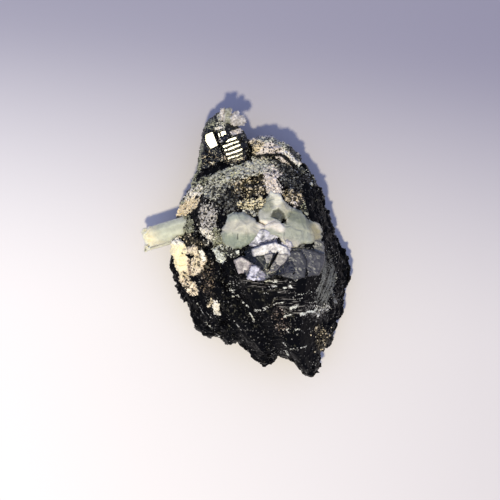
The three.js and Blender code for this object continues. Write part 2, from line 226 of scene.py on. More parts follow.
# Thin pale flakes lying along the steps and cracks, which also paint glints of light there: from,
# to, half width and strength.
FLAKES_AND_GLINTS = [
    ((3.9, -9.5), (6.9, -9.3), 0.26, 1), ((5.2, -10.7), (6.9, -10.4), 0.16, 0.9),
    ((8.8, -10.9), (10.4, -10.5), 0.2, 1), ((10.2, -9.4), (12, -9), 0.14, 0.5),
    ((-3.7, -13), (-2, -12.8), 0.18, 0.7), ((2, -16.5), (4.7, -15.7), 0.3, 0.5),
    ((9.9, -16.1), (12.3, -15.3), 0.26, 0.7), ((13.1, -17.3), (16.9, -16.5), 0.34, 0.9),
    ((9, -17.9), (10.6, -17.6), 0.28, 1), ((8.8, -21.2), (10.4, -20.9), 0.18, 0.9),
    ((9.6, -21.9), (12.8, -20.9), 0.12, 0.6), ((10.4, -26.2), (14.6, -25.4), 0.12, 0.6),
    ((9.4, -26.6), (9.9, -27.5), 0.22, 1), ((-1, -14.5), (0.2, -15.6), 0.16, 0.7),
    ((0.6, -17.2), (1.8, -19.2), 0.14, 0.7), ((8.5, -24.2), (10.4, -26.1), 0.14, 0.5),
    ((6.4, -14.9), (8.8, -14.4), 0.14, 0.7), ((12.4, -12.6), (15.6, -12), 0.14, 0.5),
    ((4, -12.2), (7.8, -11.8), 0.12, 0.4), ((11, -13.8), (13.6, -13.3), 0.1, 0.3),
    ((-4.6, -10.2), (-3.6, -12), 0.5, 0.4), ((14.4, -14.9), (17.4, -14.4), 0.2, 0.7),
    ((-10.6, -19.2), (-6.2, -24.2), 0.1, 0.3), ((-13.6, -13), (-9.8, -19.4), 0.1, 0.28),
    ((-12, -15), (-9, -18.4), 0.1, 0.25), ((-3.4, -19), (-1.6, -21.4), 0.1, 0.3),
]
# A stretch where still thinner films lie along the steps, which also paint glints there: the line,
# half width and strength.
FILMS_AND_GLINTS = [
    ([(0, -9), (10, -10.6)], 2, 0.4),
    ([(9, -15), (17, -17)], 2.4, 0.36),
]
# The key light's place, and the camera's.
KEY_PLACE = np.array([-44, -145, 475.0])
CAMERA_PLACE = np.array([0.625, -1.75, 428.5])


def fraction(a):
    """What is left of each value over its whole number."""
    return a - np.floor(a)


def lattice(i, j, k):
    """A repeatable value from 0 to 1 for each corner of a unit lattice."""
    return fraction(np.sin(i * 127.1 + j * 311.7 + k * 74.7) * 43758.5453)


def ease(t, low, high):
    """Rises smoothly from 0 at low to 1 at high."""
    s = np.clip((t - low) / (high - low), 0, 1)
    return s * s * (3 - 2 * s)


def noise(x, y, z):
    """Smooth noise from -1 to 1: lattice values blended along each axis by 3t² - 2t³."""
    x, y, z = np.broadcast_arrays(x, y, z)
    i, j, k = np.floor(x), np.floor(y), np.floor(z)
    u, v, w = ease(x - i, 0, 1), ease(y - j, 0, 1), ease(z - k, 0, 1)
    total = np.zeros(x.shape)
    for dk, weight_k in ((0, 1 - w), (1, w)):
        for dj, weight_j in ((0, 1 - v), (1, v)):
            near, far = lattice(i, j + dj, k + dk), lattice(i + 1, j + dj, k + dk)
            total = total + weight_k * weight_j * (near + (far - near) * u)
    return 2 * total - 1


def fractal(points, size, octaves=3, layer=0.0):
    """Noise summed over octaves, each half as large and half as high as the one before."""
    total, height = 0, 1.0
    for n in range(octaves):
        scaled = points * (2**n / size)
        total = total + height * noise(scaled[..., 0], scaled[..., 1], scaled[..., 2] + layer + 7 * n)
        height *= 0.5
    return total


def facets(points, size, layer=0.0):
    """Space in cells round jittered lattice points. Gives the height of a plane tilted at random in
    each cell, the cell's own value from 0 to 1, and the distance to the cell's border."""
    p = points / size + 17.3 * layer
    base = np.floor(p)
    nearest = np.full(p.shape[:-1], 9.0)
    second = nearest.copy()
    offset = np.zeros(p.shape)
    value = np.zeros(nearest.shape)
    for step in np.ndindex(3, 3, 3):
        corner = base + np.array(step) - 1
        x, y, z = corner[..., 0], corner[..., 1], corner[..., 2]
        jitter = np.stack([lattice(x + 31.7 * k, y - 11.3 * k, z + 5.1 * k) for k in range(3)], -1)
        away = p - corner - jitter
        distance = np.linalg.norm(away, axis=-1)
        closer = distance < nearest
        second = np.where(closer, nearest, np.minimum(second, distance))
        nearest = np.where(closer, distance, nearest)
        offset[closer] = away[closer]
        value[closer] = jitter[..., 1][closer]
    heading = FULL_TURN * value
    tilt = offset[..., 0] * np.cos(heading) + offset[..., 1] * np.sin(heading)
    tilt = tilt + offset[..., 2] * np.cos(3 * heading)
    return tilt * size, value, (second - nearest) * size


def across_line(x, y, line):
    """Distance from each place to a line of straight stretches."""
    best = np.full(np.shape(x), 1e9)
    for (x0, y0), (x1, y1) in zip(line[:-1], line[1:]):
        length2 = (x1 - x0) ** 2 + (y1 - y0) ** 2
        t = np.clip(((x - x0) * (x1 - x0) + (y - y0) * (y1 - y0)) / length2, 0, 1)
        best = np.minimum(best, np.hypot(x - x0 - t * (x1 - x0), y - y0 - t * (y1 - y0)))
    return best


def oval(x, y, cx, cy, along, over, turn):
    """Distance from an oval's middle as a share of its radius, 1 on its edge."""
    c, s = math.cos(math.radians(turn)), math.sin(math.radians(turn))
    u, v = (x - cx) * c + (y - cy) * s, (y - cy) * c - (x - cx) * s
    return np.hypot(u / along, v / over)


def beyond(x, y, corners):
    """Distance outside a convex outline of corners, less than 0 inside."""
    corners = np.array(corners, float)
    ahead = np.roll(corners, -1, 0)
    centre = corners.mean(0)
    furthest = np.full(np.shape(x), -1e9)
    for (x0, y0), (x1, y1) in zip(corners, ahead):
        nx, ny = (y1 - y0), -(x1 - x0)
        size = math.hypot(nx, ny) * (1 if nx * (x0 - centre[0]) + ny * (y0 - centre[1]) > 0 else -1)
        furthest = np.maximum(furthest, ((x - x0) * nx + (y - y0) * ny) / size)
    return furthest


def glint(point):
    """The unit normal that mirrors the key light into the camera at a point."""
    to_light, to_camera = KEY_PLACE - point, CAMERA_PLACE - point
    half = to_light / np.linalg.norm(to_light) + to_camera / np.linalg.norm(to_camera)
    return half / np.linalg.norm(half)


def plane(x, y, point, normal):
    """Height of a plane through a point."""
    return point[2] - (normal[0] * (x - point[0]) + normal[1] * (y - point[1])) / normal[2]


def polar(outline, centre):
    """An outline as angles and radii about a centre, in order of angle."""
    away = np.array(outline, float) - centre
    angle = np.mod(np.arctan2(away[:, 1], away[:, 0]), FULL_TURN)
    order = np.argsort(angle)
    return angle[order], np.hypot(away[:, 0], away[:, 1])[order]


OUTLINE_ANGLES, OUTLINE_RADII = polar(OUTLINE, CENTRE)


def outline_radius(angle):
    """The body outline's radius about its centre, changing evenly from corner to corner."""
    return np.interp(angle, OUTLINE_ANGLES, OUTLINE_RADII, period=FULL_TURN)


def straight_radius(angle, angles, radii):
    """Radius at an angle on straight sides between corners: r0 r1 sin(a1 - a0) over
    r0 sin(a - a0) + r1 sin(a1 - a)."""
    a = np.mod(angle, FULL_TURN)
    n = np.searchsorted(angles, a, side="right")
    before, after = (n - 1) % len(angles), n % len(angles)
    a0 = angles[before] - FULL_TURN * (n == 0)
    a1 = angles[after] + FULL_TURN * (n == len(angles))
    r0, r1 = radii[before], radii[after]
    return r0 * r1 * np.sin(a1 - a0) / (r0 * np.sin(a - a0) + r1 * np.sin(a1 - a))


def edge_radius(angle, share):
    """The outline's radius at the edge, and without its notches further in: the mean over the blur
    plus the rest times the share's fourth power."""
    places = [outline_radius(angle + k * OUTLINE_BLUR / 2) for k in range(-2, 3)]
    round_radius = sum(places) / len(places)
    return round_radius + (outline_radius(angle) - round_radius) * share**4


def ribs(x, y):
    """Crystals side by side over the lower left: a wave from one valley to the next."""
    across = ACROSS[0] * x + ACROSS[1] * y
    n = np.clip(np.searchsorted(VALLEYS, across, side="right"), 1, len(VALLEYS) - 1)
    inside = (across >= VALLEYS[0]) & (across < VALLEYS[-1])
    width = VALLEYS[n] - VALLEYS[n - 1]
    place = 2 * (across - VALLEYS[n - 1]) / width - 1
    along = ACROSS[1] * x - ACROSS[0] * y
    low, high, side = RIB_FADE
    weight = ease(along, low, high) * ease(-across, 0, side) * inside
    return 0.5 * RIB_RISE * width * np.cos(math.pi * place) * weight


def crown_height(x, y):
    """Height of the top over the base before its edge is rounded: hills, slopes, ribs and swells."""
    hills = sum(
        rise * np.exp(-((x - cx) ** 2 + (y - cy) ** 2) / reach**2) for cx, cy, reach, rise in HILLS
    )
    fall = sum(grade * np.maximum(0, sx * x + sy * y - start) for sx, sy, start, grade in SLOPES)
    swell = sum(rise * noise(x / length, y / length, layer) for length, rise, layer in SWELLS)
    return CROWN + hills - fall + ribs(x, y) + swell


def steps(x, y):
    """Steps down the dome. In each stripe the surface is turned about the stripe's middle to the
    slope of a crystal face, so that it rises by the difference of slopes times the offset."""
    across = y - TREAD_LEAN * x + 0.5 * noise(x / 11, y / 11, 3)
    phase = across / TREAD_WIDTH + 0.5 * noise(x / 30, across / 2.4, 6)
    offset = (fraction(phase) - 0.5) * TREAD_WIDTH
    reach = SLOPE_REACH
    slope = (crown_height(x, y + reach) - crown_height(x, y - reach)) / (2 * reach)
    along = x + TREAD_LEAN * y + 3.1 * lattice(np.floor(phase), 3, 1)
    cell = np.floor(along / TREAD_LENGTH)
    tilt = TREAD_TILT * (lattice(np.floor(phase), cell, 2) - 0.5)
    sideways = (fraction(along / TREAD_LENGTH) - 0.5) * TREAD_LENGTH
    slope_x = (crown_height(x + reach, y) - crown_height(x - reach, y)) / (2 * reach)
    side = np.clip(TREAD[0] + tilt - slope_x, -0.12, 0.12)
    weight = ease(-y, 3, 9) * ease(x, -5, 2) * ease(crown_height(x, y), 13, 15)
    return ((TREAD[1] + tilt - slope) * offset + side * sideways) * weight


def ledge(x, y):
    """Height of the plateau: level, with a steep fall behind its back edge."""
    behind = y - np.interp(x, LEDGE[:, 0], LEDGE[:, 1])
    steep, front, side = LEDGE_FALL
    past = np.maximum(0, LEDGE[0, 0] - x) + np.maximum(0, x - LEDGE[-1, 0])
    fall = steep * np.maximum(0, behind) + front * np.maximum(0, -behind - 2) + side * past
    return LEDGE_HEIGHT - fall + 0.25 * noise(x / 1.7, y / 1.7, 3)


def rim_height(angle):
    """Height of the body's widest line, lower on the right side."""
    return WAIST - RIM_DROP * ease(np.cos(angle + RIM_TURN), 0.3, 0.95)


def body_form(turn, share, top, detail):
    """A point of the body. turn goes round it, and share goes from the middle out to the edge.
    detail adds what its solid leaves out: the plateau, steps, pits and the lower right side."""
    angle = FULL_TURN * turn
    cos, sin = np.cos(angle), np.sin(angle)
    chips = CHIP * noise(5 * cos, 5 * sin, 7 + share if top else 9 - share)
    radius = share * (edge_radius(angle, share) + chips)
    x, y = CENTRE[0] + radius * cos, CENTRE[1] + radius * sin
    rim = rim_height(angle) if detail else WAIST
    if top:
        rounding = (1 - share ** (EDGE_POWER + EDGE_POWER_CHANGE * sin)) ** EDGE_ROUND
        if detail:
            rounding = rounding ** (1 + RIGHT_FALL * np.maximum(0, cos))
        z = rim + (crown_height(x, y) - rim) * rounding
        if detail:
            z = z - RIGHT_DROP[1] * np.maximum(0, x - RIGHT_DROP[0]) * ease(rounding, 0, 0.5)
            pits = sum(
                depth * (1 - ease(oval(x, y, cx, cy, along, over, tilt), 0.55, 1.05))
                for cx, cy, along, over, tilt, depth in PITS
            )
            z = np.where(share < 0.995, np.maximum(z, ledge(x, y)), z)
            z = z + (steps(x, y) - pits) * ease(rounding, 0, 0.4)
        return np.stack([x, y, z], -1)
    rounding = 1 - (1 - share**BASE_POWER) ** BASE_ROUND
    rough = BASE_LIFT * (0.6 * noise(x / 4, y / 4, 11) - 1)
    return np.stack([x, y, rim * rounding + rough * (1 - rounding)], -1)


def row_shares(crown_rows, base_rows):
    """Rows from the top's middle to the edge, and on to the base's middle, closer at the edge."""
    crown = np.sin(np.linspace(0, math.pi / 2, crown_rows + 1))
    base = np.sin(np.linspace(math.pi / 2, 0, base_rows + 1))[1:]
    return crown, base


def body_rings(columns, crown_rows, base_rows, detail):
    """Rings of the body from the top's middle to the base's middle."""
    turn = np.arange(columns)[None, :] / columns
    crown, base = row_shares(crown_rows, base_rows)
    return np.concatenate([
        body_form(turn, crown[:, None], True, detail),
        body_form(turn, base[:, None], False, detail),
    ])


def break_facings():
    """Each break as its direction, and how far a point may reach along it."""
    points = body_rings(SOLID_COLUMNS, SOLID_CROWN_ROWS, SOLID_BASE_ROWS, False).reshape(-1, 3)
    found = []
    for bearing, elevation, depth in BREAKS:
        b, e = math.radians(bearing), math.radians(elevation)
        facing = np.array([math.cos(e) * math.cos(b), math.cos(e) * math.sin(b), math.sin(e)])
        found.append((facing, (points @ facing).max() - depth))
    return found


FACINGS = break_facings()


def body_height(x, y):
    """Height of the body's top at a place, with its rounded edge and its flat breaks."""
    x, y = np.asarray(x, float), np.asarray(y, float)
    angle = np.arctan2(y - CENTRE[1], x - CENTRE[0])
    radius = np.hypot(x - CENTRE[0], y - CENTRE[1])
    share = np.clip(radius / edge_radius(angle, 0.8), 0, 1)
    power = EDGE_POWER + EDGE_POWER_CHANGE * np.sin(angle)
    z = WAIST + (crown_height(x, y) - WAIST) * (1 - share**power) ** EDGE_ROUND
    for facing, reach in FACINGS:
        if facing[2] > 0:
            z = np.minimum(z, (reach - facing[0] * x - facing[1] * y) / facing[2])
    return z


def ring_normals(rings):
    """Outward normals of a grid of rings, from the differences to each place's neighbours."""
    round_it = np.roll(rings, -1, 1) - np.roll(rings, 1, 1)
    outward = np.concatenate([rings[1:], rings[-1:]]) - np.concatenate([rings[:1], rings[:-1]])
    normal = np.cross(outward, round_it)
    size = np.linalg.norm(normal, axis=-1, keepdims=True)
    return normal / np.maximum(size, 1e-9)


def closed_grid(rings):
    """Points and faces of a closed surface from rings whose first and last are single points."""
    count, columns = rings.shape[:2]
    points = np.concatenate([rings[0, :1], rings[1:-1].reshape(-1, 3), rings[-1, :1]])
    column = np.arange(columns)
    after = (column + 1) % columns
    last = len(points) - 1
    low = 1 + (count - 3) * columns
    faces = [(0, 1 + c, 1 + a) for c, a in zip(column.tolist(), after.tolist())]
    start = 1 + columns * np.arange(count - 3)[:, None]
    corners = [start + column, start + column + columns, start + after + columns, start + after]
    quads = np.stack(corners, -1)
    faces += quads.reshape(-1, 4).tolist()
    faces += [(last, low + a, low + c) for c, a in zip(column.tolist(), after.tolist())]
    return points, faces


def joined(parts):
    """Several (points, faces, tints) as one."""
    points, faces, tints, start = [], [], [], 0
    for p, f, t in parts:
        points.append(p)
        tints.append(np.broadcast_to(t, (len(p), 3)))
        faces += [tuple(n + start for n in face) for face in f]
        start += len(p)
    return np.concatenate(points), faces, np.concatenate(tints)


def make_piece(name, points, faces, material, slot, stands_for=(), smooth=True, **values):
    """A mesh at the origin from points in millimetres, with its values kept as attributes."""
    mesh = bpy.data.meshes.new(name)
    mesh.from_pydata((points * MM).tolist(), [], faces)
    mesh.polygons.foreach_set("use_smooth", np.full(len(mesh.polygons), smooth))
    for key, value in values.items():
        if value.ndim == 2:
            attribute = mesh.attributes.new(key, "FLOAT_COLOR", "POINT")
            colour = np.concatenate([value, np.ones((len(value), 1))], 1)
            attribute.data.foreach_set("color", colour.astype(np.float32).ravel())
        else:
            attribute = mesh.attributes.new(key, "FLOAT", "POINT")
            attribute.data.foreach_set("value", value.astype(np.float32))
    mesh.materials.append(material)
    mesh.update()
    piece = bpy.data.objects.new(name, mesh)
    bpy.context.scene.collection.objects.link(piece)
    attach(piece, "root")
    if stands_for:
        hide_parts(*stands_for)
    return piece


def painted(points, strokes, ground, cover, raggedness=0.38, size=1.8, soft=(0.75, 1.2)):
    """Strokes over a ground colour. Gives the colour, the share of pale grains, and each stroke's
    own mask, which fades over the range soft of the distance to its line, made ragged by noise,
    over its half width."""
    x, y = points[..., 0], points[..., 1]
    ragged = raggedness * fractal(points, size, 4, 3)
    tint = np.broadcast_to(ground, points.shape).copy()
    share = np.full(x.shape, float(cover))
    masks = []
    for line, half, colour, grains, *_ in strokes:
        line = np.array(line, float)
        inside = 1 - ease(across_line(x, y, line) / half + ragged, *soft)
        tint += (colour - tint) * np.minimum(1, 1.6 * inside)[..., None]
        share += (grains - share) * inside
        masks.append(inside)
    return tint, share, masks


def body_paint(points):
    """The body's colours, shares of pale grains with scattered specks of painted glint, films that
    also paint glints, and patch masks, on its upper side alone.
    """
    above = ease(points[..., 2], 6, 9)
    tint, share, masks = painted(points, PATCHES, PEARL, 0, 0.42, 1.6, (0.55, 1.3))
    # Painted glints: scattered specks of the pale ground colour over the dark body.
    share = np.maximum(share, 0.028 * ease(fractal(points, 2.2, 3, 31), 0, 0.7))
    x, y = points[..., 0], points[..., 1]
    tint = tint * (1 + 0.36 * fractal(points, 1.2, 3, 8))[..., None].clip(0.35, 1.6)
    share = share + 0.2 * fractal(points, 1.1, 2, 21) * ease(share, 0.05, 0.5)
    flake_glint = np.zeros(x.shape)
    broken = ease(noise(x / 0.7, y / 0.4, 8), -0.6, 0.1)
    for start, end, half, strength in FLAKES_AND_GLINTS:
        near = across_line(x, y, np.array([start, end])) / half
        flake_glint = np.maximum(flake_glint, strength * broken * (1 - ease(near, 0.8, 1.5)))
    tint = tint + (FROST - tint) * flake_glint[..., None]
    share = np.maximum(share, 1.3 * flake_glint)
    film = np.zeros(x.shape)
    for line, half, strength in FILMS_AND_GLINTS:
        near = across_line(x, y, np.array(line, float)) / half
        film = np.maximum(film, strength * (1 - ease(near, 0.4, 1.1)))
    return tint, share * above, film * above, [mask * above for mask in masks]


def body_relief(points):
    """Fine relief along the normal: furrows on the lower left, broken facets on the flanks, and
    pitted grains in the patches."""
    x, y, z = points[..., 0], points[..., 1], points[..., 2]
    _, share, _, _ = body_paint(points)
    dome = ease(-y, 3, 8) * ease(x, -5, 1) * ease(z, 12, 15)
    across, along = ACROSS[0] * x + ACROSS[1] * y, ACROSS[1] * x - ACROSS[0] * y
    left = ease(-across, 3, 8) * ease(-y, -2, 4)
    furrows = 0.14 * noise(across / 0.5, along / 6, z / 6) * left
    large, _, _ = facets(points, 3.1, 1)
    small, _, _ = facets(points, 1.2, 2)
    smooth_left = 1 - 0.8 * ease(-x, 10, 12) * ease(y, 6, 9)
    flank = (1 - 0.85 * dome) * smooth_left
    breaks = (0.24 * large + 0.3 * small) * (1 - 0.6 * np.minimum(1, 2 * share)) * flank
    pitted = np.minimum(1, 2 * share) * 0.2 * noise(x / 0.4, y / 0.4, z / 0.4)
    rough = 0.05 * fractal(points, 1.1, 3, 9) * (1 - 0.6 * dome)
    return furrows + breaks + pitted + rough


@functools.lru_cache(maxsize=1)
def body_surface(columns, crown_rows, base_rows):
    """The body's rings: its form, brought back to the flat breaks, then moved along its normals by
    the fine relief, and kept above the base."""
    rings = body_rings(columns, crown_rows, base_rows, True)
    for facing, reach in FACINGS:
        excess = np.maximum(0, rings @ facing - reach)
        rings = rings - excess[..., None] * facing
    relief = body_relief(rings) * ease(rings[..., 2], 0, 3)
    relief[0] = relief[0, 0]
    rings = rings + ring_normals(rings) * relief[..., None]
    rings[..., 2] = np.maximum(0, rings[..., 2])
    return rings, ring_normals(rings)


def shader_material(name):
    """A material with a Principled shader, and its node tree."""
    material = bpy.data.materials.new(name)
    material.use_nodes = True
    return material, material.node_tree, material.node_tree.nodes["Principled BSDF"]


def add(tree, kind, **settings):
    """A node with settings: plain attributes, or sockets given as in_NAME with _ for a space."""
    node = tree.nodes.new(kind)
    for key, value in settings.items():
        if key.startswith("in_"):
            node.inputs[key[3:].replace("_", " ")].default_value = value
        else:
            setattr(node, key, value)
    return node


def place_in_mm(tree, turn=(0, 0, 0), stretch=(1, 1, 1)):
    """Object coordinates in millimetres, turned and stretched."""
    coordinates = add(tree, "ShaderNodeTexCoord")
    scale = tuple(s / MM for s in stretch)
    mapping = add(tree, "ShaderNodeMapping", in_Rotation=turn, in_Scale=scale)
    tree.links.new(coordinates.outputs["Object"], mapping.inputs["Vector"])
    return mapping.outputs["Vector"]


def shader_group(name, inputs, outputs):
    """An empty shader node group with the named inputs, given as name: default, and outputs."""
    group = bpy.data.node_groups.new(name, "ShaderNodeTree")
    for label, default in inputs.items():
        socket = group.interface.new_socket(label, in_out="INPUT", socket_type="NodeSocketFloat")
        socket.default_value = default
    for label in outputs:
        group.interface.new_socket(label, in_out="OUTPUT", socket_type="NodeSocketFloat")
    return group, add(group, "NodeGroupInput"), add(group, "NodeGroupOutput")


def grain_group():
    """Sugary grains: two random values for each grain, and a height that dips between grains."""
    group, given, result = shader_group(
        "Sugary Grains", {"Per Millimetre": 2.5}, ["Value", "Other", "Height"])
    vector = place_in_mm(group)
    cells = add(group, "ShaderNodeTexVoronoi", feature="F1")
    group.links.new(vector, cells.inputs["Vector"])
    group.links.new(given.outputs["Per Millimetre"], cells.inputs["Scale"])
    value = add(group, "ShaderNodeSeparateColor")
    group.links.new(cells.outputs["Color"], value.inputs["Color"])
    group.links.new(value.outputs["Red"], result.inputs["Value"])
    group.links.new(value.outputs["Green"], result.inputs["Other"])
    dip = add(group, "ShaderNodeMath", operation="MULTIPLY")
    dip.inputs[1].default_value = -1.0
    group.links.new(cells.outputs["Distance"], dip.inputs[0])
    group.links.new(dip.outputs[0], result.inputs["Height"])
    return group


def break_group():
    """Fine broken surface: noise in several sizes, as a height."""
    group, given, result = shader_group(
        "Fine Break", {"Per Millimetre": 1.6, "Roughness": 0.6}, ["Height"])
    vector = place_in_mm(group)
    waves = add(group, "ShaderNodeTexNoise", in_Detail=6.0)
    group.links.new(vector, waves.inputs["Vector"])
    group.links.new(given.outputs["Per Millimetre"], waves.inputs["Scale"])
    group.links.new(given.outputs["Roughness"], waves.inputs["Roughness"])
    group.links.new(waves.outputs["Fac"], result.inputs["Height"])
    return group


@functools.lru_cache(maxsize=None)
def shared_groups():
    """The node groups that the materials share, made once."""
    return {"grains": grain_group(), "break": break_group()}


def use_group(tree, key, **settings):
    """A shared group's node, with its inputs given by name with _ for a space."""
    node = add(tree, "ShaderNodeGroup", node_tree=shared_groups()[key])
    for label, value in settings.items():
        node.inputs[label.replace("_", " ")].default_value = value
    return node


def mixed(tree, blend, factor, first, second):
    """A Mix node for colours. Each argument is a socket or a plain value."""
    node = add(tree, "ShaderNodeMix", data_type="RGBA", blend_type=blend)
    for socket, value in zip((node.inputs[0], node.inputs[6], node.inputs[7]), (factor, first, second)):
        if isinstance(value, bpy.types.NodeSocket):
            tree.links.new(value, socket)
        else:
            socket.default_value = value
    return node.outputs[2]


def ranged(tree, value, low, high, to_low, to_high, way="LINEAR"):
    """A value's range low to high mapped to another range, and held at its ends."""
    node = add(tree, "ShaderNodeMapRange", interpolation_type=way)
    tree.links.new(value, node.inputs["Value"])
    limits = {"From Min": low, "From Max": high, "To Min": to_low, "To Max": to_high}
    for label, number in limits.items():
        node.inputs[label].default_value = number
    return node.outputs["Result"]


def bumped(tree, height, strength, distance, before=None):
    """A Bump node over an earlier normal. distance is in millimetres."""
    node = add(tree, "ShaderNodeBump", in_Strength=strength, in_Distance=distance * MM)
    tree.links.new(height, node.inputs["Height"])
    if before is not None:
        tree.links.new(before, node.inputs["Normal"])
    return node.outputs["Normal"]


def attribute(tree, name):
    """A node that reads the mesh's own values of that name."""
    return add(tree, "ShaderNodeAttribute", attribute_name=name)


def grain_colour(tree, speck, contrast=(0.55, 1.3)):
    """The tint attribute's colour where a grain's random value is under the cover attribute, and
    black elsewhere."""
    tint, cover = attribute(tree, "tint"), attribute(tree, "cover")
    grains = use_group(tree, "grains", Per_Millimetre=speck)
    room = add(tree, "ShaderNodeMath", operation="SUBTRACT")
    tree.links.new(cover.outputs["Fac"], room.inputs[0])
    tree.links.new(grains.outputs["Value"], room.inputs[1])
    pale = ranged(tree, room.outputs[0], -0.04, 0.08, 0, 1)
    value = ranged(tree, grains.outputs["Other"], 0, 1, *contrast)
    colour = mixed(tree, "MULTIPLY", 1.0, tint.outputs["Color"], value)
    return mixed(tree, "MIX", pale, (*INK, 1), colour), pale, grains


def tourmaline_material(name, gloss, speck, bump=0.2, specular=0.035):
    """Black glassy tourmaline with pale grains, and thin pale films along its steps, which also paint
    glints there.
    """
    material, tree, shader = shader_material(name)
    colour, pale, grains = grain_colour(tree, speck)
    film = attribute(tree, "film")
    # Pale streaks along the steps, which paint glints there as well as thin films.
    streaks = add(tree, "ShaderNodeTexNoise", in_Scale=1.0, in_Detail=3.0)
    tree.links.new(place_in_mm(tree, (0, 0, math.radians(-9)), (0.3, 3.2, 1)), streaks.inputs["Vector"])
    streak = ranged(tree, streaks.outputs["Fac"], 0.54, 0.64, 0, 1)
    lit = add(tree, "ShaderNodeMath", operation="MULTIPLY")
    tree.links.new(streak, lit.inputs[0])
    tree.links.new(film.outputs["Fac"], lit.inputs[1])
    colour = mixed(tree, "MIX", lit.outputs[0], colour, (*ASH, 1))
    tree.links.new(colour, shader.inputs["Base Color"])
    tree.links.new(ranged(tree, pale, 0, 1, gloss, 0.55), shader.inputs["Roughness"])
    fine = use_group(tree, "break", Per_Millimetre=1.1, Roughness=0.6)
    broken = bumped(tree, fine.outputs["Height"], bump, 0.4)
    sugar = add(tree, "ShaderNodeMath", operation="MULTIPLY")
    tree.links.new(grains.outputs["Height"], sugar.inputs[0])
    tree.links.new(pale, sugar.inputs[1])
    normal = bumped(tree, sugar.outputs[0], 0.5, 0.2, broken)
    shader.inputs["IOR"].default_value = 1.64
    shader.inputs["Specular IOR Level"].default_value = specular
    tree.links.new(normal, shader.inputs["Normal"])
    return material


def beryl_material(name, gloss, bump, depth, scattered, specular):
    """Milky pale green beryl in the tint attribute's colour, clouded. A share of the light is
    scattered inside, over a depth in millimetres."""
    material, tree, shader = shader_material(name)
    tint = attribute(tree, "tint")
    waves = add(tree, "ShaderNodeTexNoise", in_Scale=0.7, in_Detail=8.0, in_Roughness=0.65)
    tree.links.new(place_in_mm(tree), waves.inputs["Vector"])
    cloud = ranged(tree, waves.outputs["Fac"], 0.3, 0.7, 0.8, 1.16)
    colour = mixed(tree, "MULTIPLY", 1.0, tint.outputs["Color"], cloud)
    tree.links.new(colour, shader.inputs["Base Color"])
    fine = use_group(tree, "break", Per_Millimetre=0.9, Roughness=0.6)
    tree.links.new(bumped(tree, fine.outputs["Height"], bump, 0.3), shader.inputs["Normal"])
    shader.inputs["Roughness"].default_value = gloss
    shader.inputs["IOR"].default_value = 1.57
    shader.inputs["Specular IOR Level"].default_value = specular
    shader.inputs["Transmission Weight"].default_value = 0.1
    shader.inputs["Subsurface Weight"].default_value = scattered
    shader.inputs["Subsurface Radius"].default_value = (1.0, 1.0, 0.9)
    shader.inputs["Subsurface Scale"].default_value = depth * MM
    return material


def quartz_material(name, colour, transmission, gloss, sheen=(1, 1, 1)):
    """Clear to cloudy quartz in a colour times the tint attribute. sheen colours its reflections."""
    material, tree, shader = shader_material(name)
    tint = attribute(tree, "tint")
    waves = add(tree, "ShaderNodeTexNoise", in_Scale=1.6, in_Detail=5.0)
    tree.links.new(place_in_mm(tree), waves.inputs["Vector"])
    cloud = ranged(tree, waves.outputs["Fac"], 0.38, 0.64, 0.6, 1.1)
    base = mixed(tree, "MULTIPLY", 1.0, (*colour, 1), tint.outputs["Color"])
    base = mixed(tree, "MULTIPLY", 1.0, base, cloud)
    tree.links.new(base, shader.inputs["Base Color"])
    fine = use_group(tree, "break", Per_Millimetre=1.4, Roughness=0.6)
    tree.links.new(bumped(tree, fine.outputs["Height"], 0.4, 0.3), shader.inputs["Normal"])
    shader.inputs["Roughness"].default_value = gloss
    shader.inputs["IOR"].default_value = 1.55
    shader.inputs["Specular Tint"].default_value = (*sheen, 1)
    shader.inputs["Transmission Weight"].default_value = transmission
    return material


def grainy_material(name, gloss, speck):
    """Sugary feldspar: pale grains with dark ones between them."""
    material, tree, shader = shader_material(name)
    colour, _, grains = grain_colour(tree, speck, (0.82, 1.12))
    tree.links.new(colour, shader.inputs["Base Color"])
    tree.links.new(bumped(tree, grains.outputs["Height"], 0.4, 0.2), shader.inputs["Normal"])
    shader.inputs["Roughness"].default_value = gloss
    shader.inputs["Specular IOR Level"].default_value = 0.3
    return material


# How much further down a lump's underside goes at its middle than at its edge.
BASE_DROP = 1.2


def outlined_lump(outline, under, thickness, sink, columns, rows, power, top=None, ragged=0.0):
    """A lump seen from above: its radius about its middle follows the outline, made ragged by
    noise. Its top stands thickness over a given surface, or at the height that top gives, and
    falls to sink under the surface at the edge as the root of (1 - share^power)."""
    outline = np.array(outline, float)
    centre = (outline.max(0) + outline.min(0)) / 2
    angles, radii = polar(outline, centre)
    angle = FULL_TURN * np.arange(columns)[None, :] / columns
    radius = straight_radius(angle, angles, radii)
    cos, sin = np.cos(angle), np.sin(angle)
    edge = np.stack([centre[0] + radius * cos, centre[1] + radius * sin, 0 * angle], -1)
    radius = radius + ragged * fractal(edge, 1.1, 3, 15)
    crown, base = row_shares(rows, rows // 3)
    rings = []
    for share, upper in [(s, True) for s in crown] + [(s, False) for s in base]:
        x = centre[0] + share * radius * cos
        y = centre[1] + share * radius * sin
        rounding = (1 - share**power) ** 0.5
        ground = under(x, y)
        if upper:
            raised = ground + thickness if top is None else top(x, y)
            z = ground - sink + (raised - ground + sink) * rounding
        else:
            z = ground - sink - BASE_DROP * rounding
        rings.append(np.stack([x, y, z], -1)[0])
    return np.array(rings)


def relieved(rings, amount):
    """Rings moved along their normals, with their first and last left as single points."""
    amount[0], amount[-1] = amount[0, 0], amount[-1, 0]
    return rings + ring_normals(rings) * amount[..., None]


def crystal_axes(start, end):
    """A crystal's length, and its directions along, to its side on the level, and up."""
    start, end = np.array(start, float), np.array(end, float)
    length = np.linalg.norm(end - start)
    along = (end - start) / length
    side = np.cross(along, (0, 0, 1))
    side /= np.linalg.norm(side)
    return length, along, side, np.cross(side, along)


